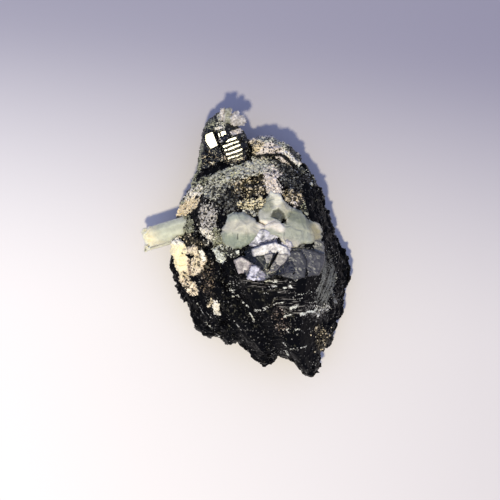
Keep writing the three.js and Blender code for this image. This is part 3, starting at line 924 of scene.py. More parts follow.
def prism_rings(start, end, width, depth, slant, roll, columns, rows, taper=0.72):
    """A six-sided section carried from start to end: radius cos 30° over cos of the angle from the
    nearest face's middle, with its corners a little rounded, and a blunt slanted end. roll turns
    the section, in degrees."""
    length, along, side, up = crystal_axes(start, end)
    angle = FULL_TURN * np.arange(columns)[None, :] / columns
    turned = angle - math.radians(roll)
    from_middle = np.mod(turned, math.pi / 3) - math.pi / 6
    hexagon = math.cos(math.pi / 6) / np.cos(from_middle)
    section = 0.6 * hexagon + 0.4
    uneven = 1 + 0.05 * noise(end[0] + 3 * np.cos(angle), end[1] + 3 * np.sin(angle), 2)
    s = 0.5 * width * np.cos(angle) * section * uneven
    u = 0.5 * depth * np.sin(angle) * section * uneven
    rings = []
    shares = np.concatenate([[0], np.linspace(0, 0.96, rows), np.linspace(0.965, 1, 10), [1] * 6])
    bevel, end_face = np.linspace(0.995, taper, 10), taper * np.linspace(0.9, 0, 6)
    sizes = np.concatenate([[0], np.ones(rows), bevel, end_face])
    for share, size in zip(shares, sizes):
        reach = share * length + slant * s * size * share**4
        rings.append(np.array(start) + (along[None] * reach[0][:, None]
                                        + side[None] * (s * size)[0][:, None]
                                        + up[None] * (u * size)[0][:, None]))
    return np.array(rings)


def blocks(points, colours, sizes, rng):
    """Grains as uneven blocks: a cube's corners stretched, jittered and turned at random."""
    corners = np.array(list(np.ndindex(2, 2, 2)), float) - 0.5
    count = len(points)
    shape = corners[None] * rng.uniform(0.7, 1.35, (count, 1, 3))
    shape = shape + rng.uniform(-0.12, 0.12, (count, 8, 3))
    q = rng.normal(size=(count, 4))
    w, x, y, z = (q / np.linalg.norm(q, axis=1, keepdims=True)).T
    turn = np.stack([
        np.stack([1 - 2 * (y * y + z * z), 2 * (x * y - z * w), 2 * (x * z + y * w)], -1),
        np.stack([2 * (x * y + z * w), 1 - 2 * (x * x + z * z), 2 * (y * z - x * w)], -1),
        np.stack([2 * (x * z - y * w), 2 * (y * z + x * w), 1 - 2 * (x * x + y * y)], -1),
    ], 1)
    placed = np.einsum("nij,nkj->nki", turn, shape) * sizes[:, None, None] + points[:, None, :]
    sides = np.array([
        (0, 1, 3, 2), (4, 6, 7, 5), (0, 4, 5, 1), (2, 3, 7, 6), (0, 2, 6, 4), (1, 5, 7, 3),
    ])
    faces = (sides[None] + 8 * np.arange(count)[:, None, None]).reshape(-1, 4).tolist()
    return placed.reshape(-1, 3), faces, np.repeat(colours, 8, 0)


class BodySettings(bpy.types.PropertyGroup):
    """The tourmaline body's mesh and finish"""

    columns: IntProperty(name="Columns", description="Steps round the body", default=500, min=60)
    crown_rows: IntProperty(name="Crown rows", description="Rows over the top", default=165, min=20)
    base_rows: IntProperty(name="Base rows", description="Rows under the body", default=28, min=8)
    gloss: FloatProperty(
        name="Roughness", description="Roughness of clean black faces", default=0.2, min=0, max=1)


class BerylSettings(bpy.types.PropertyGroup):
    """The look of the aquamarine"""

    body: FloatVectorProperty(
        name="Body", description="Colour of the milky green body", subtype="COLOR",
        default=tuple(from_screen(186, 187, 171)), min=0, max=1)
    gloss: FloatProperty(
        name="Roughness", description="Roughness of the crystal faces", default=0.4, min=0, max=1)


class QuartzSettings(bpy.types.PropertyGroup):
    """The look of the quartz"""

    clear: FloatVectorProperty(
        name="Clear", description="Colour of the clear quartz", subtype="COLOR",
        default=tuple(from_screen(235, 235, 245)), min=0, max=1)
    gloss: FloatProperty(
        name="Roughness", description="Roughness of the quartz faces", default=0.12, min=0, max=1)


class GrainSettings(bpy.types.PropertyGroup):
    """The loose grains' size and seed"""

    size: FloatProperty(
        name="Grain size", description="Mean width of a grain", default=0.24 * MM, min=0.1 * MM,
        unit="LENGTH", precision=5)
    seed: IntProperty(name="Seed", description="Start of the random draws", default=7)


class StageSettings(bpy.types.PropertyGroup):
    """The floor's colours, which paint the light's falloff across it, and the camera's place"""

    floor: FloatVectorProperty(
        name="Near floor", description="Colour of the floor towards the light", subtype="COLOR",
        default=(0.81, 0.772, 0.781), min=0, max=1)
    right_floor: FloatVectorProperty(
        name="Right floor", description="Colour of the near floor on the right", subtype="COLOR",
        default=(0.645, 0.606, 0.623), min=0, max=1)
    far_floor: FloatVectorProperty(
        name="Far floor", description="Colour of the floor away from the light", subtype="COLOR",
        default=(0.121, 0.118, 0.233), min=0, max=1)
    width: FloatProperty(
        name="Frame width", description="Width that the camera sees at the waist of the body",
        default=125 * MM, unit="LENGTH")
    distance: FloatProperty(
        name="Camera distance", description="Camera's distance over the waist",
        default=420 * MM, unit="LENGTH")


class SPECIMEN_OT_tourmaline_body(bpy.types.Operator):
    """Make the black tourmaline body with its ledges, furrows, mineral patches, painted glints and a
    painted shadow line
    """

    bl_idname = "specimen.tourmaline_body"
    bl_label = "Tourmaline Body"

    def execute(self, context):
        size = context.scene.specimen_body
        rings, _ = body_surface(size.columns, size.crown_rows, size.base_rows)
        points, faces = closed_grid(rings)
        tint, cover, film, _ = body_paint(points)
        material = tourmaline_material("Black Tourmaline", size.gloss, 3.8)
        make_piece("tourmaline_body", points, faces, material, "tourmaline", ["tourmaline_mass"],
                   tint=tint, cover=cover, film=film)
        return {"FINISHED"}


# The stub's outline from above.
STUB_OUTLINE = [
    (-12.6, 18.5), (-12.1, 21.5), (-11.8, 23), (-11.4, 25.2), (-11.2, 27.4), (-10.1, 30), (-8.8, 31.5),
    (-7.2, 32.6), (-5.4, 32.6), (-4.2, 31.6), (-2.2, 28.7), (-0.9, 27.6), (0, 25.8), (0.7, 24.9),
    (1.6, 22.9), (2.1, 21.2), (1, 19.4), (-6.4, 17.2), (-10, 16.2), (-12.2, 16.6),
]
# The bright faces of the stub as outlines, and a point on each.
STUB_MIRRORS = [
    ([(-10.5, 26.8), (-8.5, 27.6), (-7.1, 24.2), (-9.2, 23.2), (-10.4, 25)], (-9, 25.3, 13.0)),
    ([(-8, 26.9), (-7, 27.3), (-6.5, 26.1), (-7.4, 25.5)], (-7.3, 26.4, 12.9)),
    ([(-6.8, 27.5), (-5.4, 27.9), (-5.1, 26.7), (-6.4, 26.2)], (-6, 27.1, 13.1)),
    ([(-4.8, 25.6), (-3, 26.3), (-2.1, 25.2), (-1.1, 23), (-1, 20.7), (-4.9, 20.2), (-6.5, 23.9)],
     (-4.1, 23.4, 13.4)),
]
# Which bright face is broken into stairs, the direction that they rise along, how far they lie
# apart, and the groove at each: its place in the stair, its half width as a share and its depth.
STRIPED = 3
STAIR_DIRECTION = (-0.34, 0.94)
STAIR_WIDTH = 1.05
STAIR_GROOVE = (0.7, 0.23, 0.3)
# The other faces: a point on each, and its normal.
STUB_FACES = [
    ((-1.6, 25.2, 12.6), (0.78, 0.1, 0.62)),
    ((-8.2, 28.4, 12.6), (-0.3, 0.5, 0.81)),
    ((-10.9, 24, 12), (-0.85, 0.05, 0.52)),
    ((-9, 22.4, 12.7), (-0.2, -0.45, 0.86)),
    ((-2.9, 27.4, 12.7), (0.28, 0.45, 0.85)),
]
STUB_GROOVE = np.array([(-8.25, 27.9), (-6.75, 24), (-5.2, 20.2)])
# The height that the stub's top falls to at its edge, and that of its underside.
STUB_EDGE = 8.0
STUB_FLOOR = 3.4
# Patches on the stub, and a black stroke of painted shade: the line, half width, colour and share
# of pale grains.
STUB_PAINT = [
    ([(-9.8, 29.8), (-7.6, 29.2), (-6.2, 31.2)], 1.7, MOSS, 0.5),
    ([(-7, 31.4), (-5.8, 31.8)], 0.9, SUGAR, 0.9),
    ([(-6.8, 29.4), (-5.9, 28.8)], 0.9, SUGAR, 0.6),
    ([(-7.8, 28.2), (-6.2, 28.6)], 0.35, IVORY, 0.8),
    ([(-12.6, 17.5), (-12, 21), (-11.5, 24)], 0.8, MOSS, 0.7),
    ([(-9.6, 21.2), (-8, 19.6)], 1.8, TAN, 0.07),
    ([(-3.7, 27.2), (-1.7, 27.9)], 0.62, ROSE, 0.9),
    ([(-7.2, 26.4), (-6.5, 25)], 0.4, ASH, 0.6),
    ([(-5.2, 21.6), (-1.6, 21.2)], 1.0, ROSE, 0.24),
    ([(-9.1, 17.8), (-8.8, 18.8)], 0.4, IVORY, 1),
    ([(-9.2, 20), (-8.2, 19.6)], 0.2, IVORY, 0.8),
    ([(-4.6, 20.4), (-1.4, 21)], 0.8, TAN, 0.4),
    # Painted shade: black along the stub's foot, in the drop behind the plateau.
    ([(-6.4, 18.2), (-2, 19.4), (1, 20.2)], 0.6, INK, 0),
]


def stub_top(x, y):
    """The lowest of the stub's face planes, cut by a groove. The widest bright face has a V groove
    at each stair and bends down a little towards its lower end. Inside its outline a bright face
    keeps its own plane, and past it the plane rises, so that it doesn't cut the others."""
    z = np.full(np.shape(x), 99.0)
    for point, normal in STUB_FACES:
        z = np.minimum(z, plane(x, y, point, normal))
    mirrors = []
    for n, (corners, point) in enumerate(STUB_MIRRORS):
        face = plane(x, y, point, glint(point))
        if n == STRIPED:
            along = STAIR_DIRECTION[0] * x + STAIR_DIRECTION[1] * y
            phase = along / STAIR_WIDTH + 0.12 * noise(x / 3, y / 0.9, 2)
            middle, half, depth = STAIR_GROOVE
            groove = np.maximum(0, 1 - np.abs(fraction(phase) - middle) / half)
            face = face - depth * groove - 0.02 * noise(x / 1.6, y / 0.4, 5) * ease(24 - along, 0, 4)
            face = face - 0.006 * np.maximum(0, 23.4 - along) ** 2
        mirrors.append((beyond(x, y, corners), face))
        z = np.minimum(z, face + 0.4 + 1.1 * np.maximum(0, mirrors[-1][0]))
    for away, face in mirrors:
        z = np.where(away < 0, face, z)
    return z - 1.0 * np.exp(-((across_line(x, y, STUB_GROOVE) / 0.22) ** 2))


def stub_ground(x, y):
    """The level that the stub's top falls to at its edge."""
    return np.full(np.shape(x), STUB_EDGE)


def stub_relief(rings):
    """Broken facets and fine grain, left off the bright faces."""
    x, y, z = rings[..., 0], rings[..., 1], rings[..., 2]
    bright = np.zeros(x.shape)
    for corners, _ in STUB_MIRRORS:
        bright = np.maximum(bright, 1 - ease(beyond(x, y, corners), -0.1, 0.15))
    tilt, _, _ = facets(rings, 1.3, 3)
    grain = noise(x / 0.4, y / 0.4, z / 0.4)
    return (1 - bright) * (0.34 * tilt + 0.12 * grain)


class SPECIMEN_OT_tourmaline_stub(bpy.types.Operator):
    """Make the crystal stub at the head, with its cleaved and striped faces"""

    bl_idname = "specimen.tourmaline_stub"
    bl_label = "Tourmaline Stub"

    def execute(self, context):
        rows = 140
        rings = outlined_lump(STUB_OUTLINE, stub_ground, 5, 0, 250, rows, 40, stub_top)
        lower = rings[rows + 1:]
        over_base = lower[..., 2] - (STUB_EDGE - BASE_DROP)
        lower[..., 2] = STUB_FLOOR + (STUB_EDGE - STUB_FLOOR) * over_base / BASE_DROP
        points, faces = closed_grid(relieved(rings, stub_relief(rings)))
        tint, cover, _ = painted(points, STUB_PAINT, SUGAR, 0.035)
        for n, (corners, _) in enumerate(STUB_MIRRORS):
            left = 0.06 * (n == STRIPED)
            cover = left + (cover - left) * ease(beyond(points[:, 0], points[:, 1], corners), -0.1, 0.2)
        cover = cover * ease(points[:, 2], 6, 9)
        material = tourmaline_material("Cleaved Tourmaline", 0.2, 3.8, 0.05, 0.3)
        make_piece("tourmaline_stub", points, faces, material, "tourmaline", ["tourmaline_knob"],
                   tint=tint, cover=cover, film=np.zeros(len(points)))
        return {"FINISHED"}


# The prism and the sliver: where each starts and ends, its width, its depth, the slant of its end
# face and its roll.
PRISM = [
    ((-12.4, 5, 11.4), (-25.7, 1, 9.3), 5.1, 3.8, 0.08, 3),
    ((-16.6, 1.4, 8.6), (-25.8, -1.3, 8.1), 2, 3, -0.3, 20),
]
STRAW = from_screen(252, 236, 200)


def prism_relief(rings, along, side, up):
    """Fine lines along the prism, and a broken tip."""
    s, u, a = rings @ side, rings @ up, rings @ along
    lines = 0.008 * noise(s / 0.4, u / 0.4, a / 9)
    tip = ease(-rings[..., 0], 23.4, 25)
    tilt, _, _ = facets(rings, 1.4, 5)
    return lines + 0.01 * fractal(rings, 1, 3) + 0.3 * tip * tilt


class SPECIMEN_OT_beryl_prism(bpy.types.Operator):
    """Make the free aquamarine prism and the sliver against it"""

    bl_idname = "specimen.beryl_prism"
    bl_label = "Aquamarine Prism"

    def execute(self, context):
        look = context.scene.specimen_beryl
        parts = []
        for start, end, width, depth, slant, roll in PRISM:
            rings = prism_rings(start, end, width, depth, slant, roll, 96, 80)
            _, *axes = crystal_axes(start, end)
            points, faces = closed_grid(relieved(rings, prism_relief(rings, *axes)))
            towards_tip = -points[:, 0] - 0.55 * points[:, 1]
            warm = ease(towards_tip + 0.7 * fractal(points, 1.2, 3, 4), 19.5, 25.5)
            green = 1.22 * np.array(look.body)
            parts.append((points, faces, green + (STRAW - green) * warm[:, None]))
        points, faces, tint = joined(parts)
        material = beryl_material("Prism Aquamarine", look.gloss, 0.12, 2.2, 1.0, 0.14)
        make_piece("beryl_prism", points, faces, material, "aquamarine", ["aquamarine_prism"], tint=tint)
        return {"FINISHED"}


# The lobes of the vein: outline and thickness over the body.
VEIN_LOBES = [
    ([(-4.8, 6.6), (-3, 7.5), (-0.8, 7.3), (1.4, 6.2), (3.4, 5), (4.6, 3.8), (3.6, 2.5), (1.7, 1.5),
      (0.6, -0.4), (-1.6, -1.3), (-4.4, -1), (-6.2, 0.4), (-6.4, 2.3), (-5.6, 4.4)], 1.3),
    ([(3.2, 4), (5.4, 5.2), (8, 5), (9.3, 6.6), (11, 8.6), (13.2, 7.9), (15.6, 5.4), (17.5, 4.5),
      (18.4, 2), (17.8, 0.1), (15.1, 0.1), (12.6, -0.6), (10.4, -1.4), (8.6, -0.6), (7, 1.4),
      (4, 1.9)], 1.15),
    ([(2.4, 4.8), (2.8, 7.4), (4.3, 9.8), (5.5, 12.8), (7.6, 12.4), (9, 10.4), (10.7, 8.6), (11.4, 6.6),
      (8.6, 4.6), (5.6, 4)], 1.3),
]
# The hollow in the vein, whose colour is darkened as painted shade, its depth, and the crack,
# which is only a darker colour.
VEIN_PIT = [(5.3, 5.7), (6.1, 7.9), (7.4, 8.5), (9, 7.1), (9.8, 4.2), (8.4, 4.9)]
VEIN_PIT_DEPTH = 0.95
# Colours in the vein: the line, half width, colour, and 1 for no black grains.
VEIN_PAINT = [
    (line, half, from_screen(*colour), 1) for line, half, colour in (
        ([(-5.6, 4.6), (-2, 4.2), (1.6, 3.8)], 1.7, (210, 205, 190)),
        ([(-4.6, 6.6), (-1, 6.6)], 1.0, (182, 186, 172)),
        ([(-5, 0.6), (-1.6, 0), (1, 0.2)], 1.5, (156, 163, 147)),
        ([(3, 6.4), (4.6, 7.2)], 1.4, (202, 200, 188)),
        ([(4.6, 8.4), (5.2, 11.6)], 1.2, (166, 166, 148)),
        ([(6.8, 12.4), (8.2, 9.8)], 1.5, (255, 248, 226)),
        ([(9, 9), (10, 7.4)], 1.0, (214, 207, 182)),
        ([(3.8, 4.3), (6, 4.6), (8.2, 3.4)], 1.0, (255, 243, 229)),
        ([(9.6, 5.4), (10.4, 5)], 0.6, (226, 220, 204)),
        ([(11.4, 6.4), (14.6, 4.4)], 1.6, (146, 149, 131)),
        ([(10.4, 3.6), (14, 2.6)], 1.3, (182, 183, 166)),
        ([(16.4, 3.6), (17.2, 1.2)], 1.2, (192, 181, 142)),
        ([(8.4, 0.4), (11.4, -0.8)], 1.1, (204, 198, 182)),
        ([(17, 4.6), (17.8, 3.8)], 0.6, (214, 205, 178)),
    )
]
VEIN_CRACK = [(-2.3, 2.1), (-2.4, 0.9)]


def vein_relief(rings):
    """Broken facets in two sizes that fade at their borders, the hollow, and a little roughness."""
    tilt, _, border = facets(rings, 4.4, 6)
    small, _, edge = facets(rings, 1.3, 7)
    pit = VEIN_PIT_DEPTH * (1 - ease(beyond(rings[..., 0], rings[..., 1], VEIN_PIT), -0.5, 0.1))
    broken = 0.16 * tilt * ease(border, 0, 0.9) + 0.08 * small * ease(edge, 0, 0.3)
    return broken - pit + 0.05 * fractal(rings, 1, 4, 5)


class SPECIMEN_OT_beryl_vein(bpy.types.Operator):
    """Make the band of intergrown aquamarine across the middle"""

    bl_idname = "specimen.beryl_vein"
    bl_label = "Aquamarine Vein"

    def execute(self, context):
        look = context.scene.specimen_beryl
        parts = []
        for outline, thickness in VEIN_LOBES:
            rings = outlined_lump(outline, body_height, thickness, 0.9, 210, 96, 12, ragged=0.22)
            points, faces = closed_grid(relieved(rings, vein_relief(rings)))
            tint, _, _ = painted(points, VEIN_PAINT, np.array(look.body), 1, 0.34, 2.2, (0, 1.7))
            parts.append((points, faces, tint))
        points, faces, tint = joined(parts)
        x, y = points[:, 0], points[:, 1]
        # Painted shade: the colour darkens in and round the hollow.
        shade = 1 - ease(beyond(x, y, VEIN_PIT) + 0.2 * fractal(points, 0.7, 3), -0.4, 0.2)
        tint = 0.93 * tint * (1 - 0.76 * shade[:, None])
        crack = 1 - ease(across_line(x, y, np.array(VEIN_CRACK)), 0.08, 0.2)
        tint = tint * (1 - 0.7 * crack[:, None])
        material = beryl_material("Vein Aquamarine", look.gloss, 0.3, 0.9, 0.5, 0.3)
        make_piece("beryl_vein", points, faces, material, "aquamarine", ["aquamarine_vein"], tint=tint)
        return {"FINISHED"}


# The outline of the clear quartz from above.
WINDOW_OUTLINE = [
    (0.4, 1.2), (2.2, 3), (5.1, 3.4), (8.1, 1.8), (10.6, -0.8), (14, -1.4), (18, -2.4), (19.4, -6),
    (17.6, -9.6), (13, -8.2), (9.6, -7.4), (7.2, -8.2), (3.6, -9.2), (0.6, -8.6), (-2.2, -6.6),
    (-2.8, -4), (-0.8, -1.8),
]
# Bright plates at the window: outline, height over the body, how far they lean from the glint
# along x and y, tint, and how rough they are. Their tops mirror the key light, and the pale tints of
# the lighter plates also paint the reflections on the quartz.
PLATES = [
    ([(1.1, -1.6), (1.3, -3.2), (2.2, -3.4), (6.6, -2.5), (9.4, -3.4), (10.4, -3), (9.8, -1.1),
      (6.8, 0.1), (4.2, -0.4)],
     0.4, (0.03, 0.02), (0.88, 0.83, 0.75), 0.2),
    ([(-3.4, -4.1), (-1.4, -3.3), (0.8, -4.7), (2.6, -5.8), (0.5, -7.1), (-2.2, -7.6)],
     0.45, (0.06, 0.08), (0.5, 0.44, 0.4), 0.12),
    ([(6.4, -2.6), (9.9, -2.6), (9.6, -4), (7.2, -6.4), (5, -7.2), (5.2, -6.6)],
     0.3, (-0.09, 0.05), (0.4, 0.365, 0.32), 0.14),
    ([(1.8, -3.2), (6.4, -2.5), (5, -6.4), (4.4, -6.6)],
     0.1, (0.2, 0.16), (0.075, 0.073, 0.05), 0.12),
    ([(0.3, -0.8), (0.5, 1.6), (1.6, 2.6), (3.4, 3.4), (6.4, 2.4), (9, 0), (8.8, -1), (4.4, -0.6),
      (2.6, -1.4)],
     0.3, (-0.04, 0.05), (0.54, 0.52, 0.55), 0.12),
    ([(8.2, 0.2), (10, 0.6), (11, -0.8), (10.2, -2.2), (8.8, -2.2), (8, -1)],
     0.6, (0.05, 0.04), (0.6, 0.56, 0.55), 0.35),
    ([(-0.2, -8.7), (0.4, -7.3), (1, -5.6), (3.2, -5.8), (3.6, -6.8), (4.6, -7.6), (4.1, -8.5),
      (2.4, -9)],
     0.35, (0.03, 0.03), (0.85, 0.82, 0.88), 0.4),
    ([(10.6, -1), (14, -1.2), (19, -2.8), (19, -5), (17.4, -8), (12, -8.4), (8.4, -7.4), (9.8, -4)],
     0.1, (0.22, 0.2), (0.095, 0.09, 0.088), 0.14),
    ([(13.4, 0.4), (16, 1), (18.5, 0.2), (19, -2.6), (18, -4.8), (15.6, -4), (13.8, -2.4)],
     0.3, (0.16, 0.16), (0.2, 0.19, 0.16), 0.15),
    ([(3.8, -2.9), (6.3, -2.5), (5.3, -5), (4.6, -5)],
     0.3, (0.1, 0.1), (0.34, 0.31, 0.27), 0.12),
    ([(9, -3.4), (10.6, -1.7), (13.2, -2), (14.4, -4.4), (14, -8.4), (11.4, -9), (7.8, -8)],
     0.35, (0.2, 0.18), (0.1, 0.095, 0.09), 0.14),
]
# A plate with every colour channel under this is a dark one, and fades towards its edges.
DARK_PLATE = 0.2
# The plate with streaks round a centre, and that centre: its pale lilac tint and its streaks are
# painted reflection on the quartz.
ARCS = 4
ARC_CENTRE = (4.7, -1.4)
# Where the needle starts and ends, its width, and how high it lies over the plates.
NEEDLE = [(7.3, -2.3), (4.9, -6.4)]
NEEDLE_WIDTH = 0.55
NEEDLE_RISE = 0.35


def window_relief(rings):
    """Broken facets in two sizes."""
    tilt, _, _ = facets(rings, 3, 8)
    small, _, _ = facets(rings, 0.9, 9)
    return 0.12 * tilt + 0.1 * small


def plate_relief(rings, rough):
    """Small facets and a finer roughness, both scaled by how rough the plate is."""
    tilt, _, _ = facets(rings, 0.9, 4)
    return rough * tilt + 0.3 * rough * fractal(rings, 0.6, 3)


def plate_tone(points, outline, tint, streaked):
    """How bright a plate is at each point: clouded, faded at a dark plate's edges, and streaked
    round the arcs' centre as painted reflection."""
    x, y = points[:, 0], points[:, 1]
    tone = 1 + 0.3 * fractal(points, 0.8, 3, 6)
    if max(tint) < DARK_PLATE:
        tone = tone * (0.55 + 0.45 * ease(-beyond(x, y, outline), 0, 1.4))
    if streaked:
        x, y = x - ARC_CENTRE[0], y - ARC_CENTRE[1]
        tone = tone + 0.6 * noise(8 * np.arctan2(y, x), np.hypot(x, y) / 1.2, 3)
    return tone[:, None].clip(0.2, 1.6)


def window_plates():
    """The bright plates as one mesh, and the highest plate under each end of the needle."""
    parts, heights = [], np.full(len(NEEDLE), -1e9)
    for n, (outline, rise, lean, tint, rough) in enumerate(PLATES):
        middle = np.array(outline).mean(0)
        point = np.array([*middle, float(body_height(*middle)) + rise])
        normal = glint(point) + np.array([*lean, 0])
        top = functools.partial(plane, point=point, normal=normal)
        rings = outlined_lump(outline, body_height, rise, 0.8, 100, 44, 24, top, 0.1)
        points, faces = closed_grid(relieved(rings, plate_relief(rings, rough)))
        tone = plate_tone(points, outline, tint, n == ARCS)
        for k, (x, y) in enumerate(NEEDLE):
            if beyond(x, y, outline) < 0.3:
                heights[k] = max(heights[k], top(x, y))
        parts.append((points, faces, np.array(tint) * tone))
    return joined(parts), heights


class SPECIMEN_OT_quartz_window(bpy.types.Operator):
    """Make the clear quartz window, its bright plates and the black needle in it"""

    bl_idname = "specimen.quartz_window"
    bl_label = "Quartz Window"

    def execute(self, context):
        look = context.scene.specimen_quartz
        rings = outlined_lump(WINDOW_OUTLINE, body_height, 0.2, 0.9, 200, 70, 9)
        points, faces = closed_grid(relieved(rings, window_relief(rings)))
        clear = quartz_material("Clear Quartz", look.clear, 1.0, look.gloss, (0.7, 0.7, 0.72))
        make_piece("clear_quartz", points, faces, clear, "quartz", ["quartz_window"],
                   tint=np.ones((len(points), 3)))
        (points, faces, tint), heights = window_plates()
        # The plates' pale tints partly paint the reflections on the quartz.
        pearly_and_painted_sheen = quartz_material("Pearly Quartz And Painted Sheen", look.clear, 0.0, 0.3, (0.78, 0.82, 0.96))
        make_piece("quartz_plates", points, faces, pearly_and_painted_sheen, "quartz", tint=tint.clip(0, 1))
        ends = [(x, y, z + NEEDLE_RISE) for (x, y), z in zip(NEEDLE, heights)]
        rings = prism_rings(*ends, NEEDLE_WIDTH, NEEDLE_WIDTH, 0, 12, 30, 20)
        points, faces = closed_grid(rings)
        dark = tourmaline_material("Needle Tourmaline", 0.6, 2.4, 0.1, 0.02)
        none = np.zeros(len(points))
        make_piece("tourmaline_needle", points, faces, dark, "tourmaline",
                   tint=np.broadcast_to(INK, points.shape), cover=none, film=none)
        return {"FINISHED"}


# The small crystals on the stub's tip, with the same values as the prism.
TIPS = [
    ((-6.3, 30.4, 11.6), (-6.1, 33.3, 13.2), 1.3, 1.3, 0.3, 10),
    ((-5.2, 29.8, 11.8), (-4.7, 33.1, 14.0), 1.8, 1.6, 0.4, 25),
    ((-4.6, 30.2, 11.6), (-2.3, 31.8, 13.6), 2.0, 1.8, -0.3, -10),
    ((-4.2, 30, 11.5), (-0.5, 30.8, 12.8), 2.1, 1.9, 0.2, 35),
    ((-3.8, 29.9, 11.4), (-1, 29.8, 12.5), 1.5, 1.4, 0.3, 5),
    ((-5.4, 30, 11.8), (-4.5, 31.4, 13.6), 1.9, 1.6, 0.3, 15),
]
TIP_GREY = from_screen(236, 228, 218)
TIP_GREEN = from_screen(196, 194, 168)


def tip_relief(rings):
    """Broken facets and a finer roughness."""
    tilt, _, _ = facets(rings, 0.8, 11)
    return 0.32 * tilt + 0.12 * fractal(rings, 0.7, 2)


class SPECIMEN_OT_quartz_tips(bpy.types.Operator):
    """Make the small pale crystals on the tip of the stub"""

    bl_idname = "specimen.quartz_tips"
    bl_label = "Quartz Tips"

    def execute(self, context):
        look = context.scene.specimen_quartz
        parts = []
        for tip in TIPS:
            rings = prism_rings(*tip, 56, 34)
            points, faces = closed_grid(relieved(rings, tip_relief(rings)))
            green = (ease(-points[:, 0], 3.8, 4.5) * ease(points[:, 0], -6, -5.3))[:, None]
            colour = TIP_GREY * (1 - green) + TIP_GREEN * green
            warm = 0.85 + 0.3 * ease(fractal(points, 1.0, 3), -0.6, 0.6)
            parts.append((points, faces, np.minimum(1, warm[:, None] * colour)))
        points, faces, tint = joined(parts)
        material = quartz_material("Cloudy Quartz", look.clear, 0.15, 0.35)
        make_piece("quartz_tips", points, faces, material, "quartz", ["quartz_sprigs"], tint=tint)
        return {"FINISHED"}


# Feldspar blocks of the crust and of the ridge: outline, a point on the top, the top's normal, the
# share of pale grains, and strokes as on the body.
CRUST = [
    ([(-19.1, 0.9), (-17, 1.4), (-15, -0.3), (-14.2, -3.8), (-14.2, -8.2), (-15.8, -9.4), (-17, -8),
      (-17.9, -4.8), (-19, -2)],
     (-16, -3.6, 13.6), (-0.32, -0.14, 0.94), 1.12,
     [([(-18.6, 0.6), (-16.6, 0.4)], 0.9, IVORY, 0.85), ([(-15.6, -7.8), (-15, -9)], 1, TAN, 0.66),
      ([(-14.6, -1), (-14.4, -7)], 0.5, BLUSH, 0.85)]),
    ([(-14.8, -1), (-12.5, -0.3), (-10.4, -1.6), (-10, -4.8), (-10.8, -6.8), (-12.4, -8.2),
      (-14.9, -8.2), (-15.2, -4.8)],
     (-12.4, -3.8, 14.7), (-0.14, -0.2, 0.97), 0.8,
     [([(-14.5, -4.6), (-14.2, -7.6)], 0.4, BROWN, 0.8), ([(-12, -3.6), (-12.6, -5.4)], 0.8, TAN, 0.6),
      ([(-11.4, -1.4), (-10.6, -4)], 0.5, IVORY, 0.85),
      ([(-13.6, -2.4), (-13.4, -3.4)], 0.6, TAN, 0.7)]),
]
RIDGE = [
    ([(1, 25.4), (3, 26.2), (6, 25.9), (9.8, 24.2), (12.3, 21.9), (13.3, 20.1), (12.6, 19.2),
      (10.2, 19.4), (8.2, 21.2), (4, 21.3), (1.5, 21.8), (0.9, 23.4)],
     (6, 23.4, 13), (0.06, 0.16, 0.98), 0.82,
     [([(1.4, 23), (2.8, 24.4)], 1.6, TAN, 0.68), ([(4.4, 22.6), (7.8, 22)], 1.2, ROSE, 0.72),
      ([(3.4, 25.8), (6.2, 25.6), (10.4, 23.4)], 0.8, SUGAR, 0.6),
      ([(8.8, 22.4), (10.8, 21.2), (12.6, 19.6)], 0.7, IVORY, 0.85),
      ([(10.6, 23.4), (13, 21)], 0.8, SLATE, 0.5),
      # Painted shadow: a black line along the ridge's front edge, over the plateau.
      ([(0.6, 21.3), (4.4, 21.5), (8.2, 21.9), (9.9, 20.6), (12.7, 18.3)], 0.42, INK, 0)]),
]


def block_top(x, y, point, normal):
    """A block's flat top, never less than half a millimetre over the body."""
    return np.maximum(plane(x, y, point, normal), body_height(x, y) + 0.5)


def block_relief(rings, step):
    """Broken facets in two sizes and fine roughness, scaled by step and cut only so deep."""
    tilt, _, _ = facets(rings, 2.0, 12)
    small, _, _ = facets(rings, 0.8, 13)
    return np.maximum(step * (0.5 * tilt + 0.5 * small + 0.08 * fractal(rings, 0.5, 2)), -0.3)


def feldspar_piece(name, node, lumps, step, colours, material):
    """Flat-topped blocks with broken facets and a sugary skin, as one mesh."""
    parts, covers = [], []
    for (outline, point, normal, cover, strokes), ground in zip(lumps, colours):
        top = functools.partial(block_top, point=point, normal=normal)
        rings = outlined_lump(outline, body_height, 1, 1.2, 230, 100, 8, top, 0.2)
        points, faces = closed_grid(relieved(rings, block_relief(rings, step)))
        tint, share, _ = painted(points, strokes, ground, cover, 0.4, 1.2, (0.4, 1.4))
        parts.append((points, faces, tint))
        covers.append(share)
    points, faces, tint = joined(parts)
    make_piece(name, points, faces, material, "feldspar", [node],
               tint=tint, cover=np.concatenate(covers))


class SPECIMEN_OT_feldspar(bpy.types.Operator):
    """Make the feldspar crust on the left and the granular ridge along the back"""

    bl_idname = "specimen.feldspar"
    bl_label = "Feldspar"

    def execute(self, context):
        material = grainy_material("Sugary Feldspar", 0.55, 3.8)
        feldspar_piece("feldspar_lumps", "feldspar_crust", CRUST, 0.5, [CREAM, BLUSH], material)
        feldspar_piece("feldspar_back", "feldspar_ridge", RIDGE, 1.0, [ROSE], material)
        return {"FINISHED"}


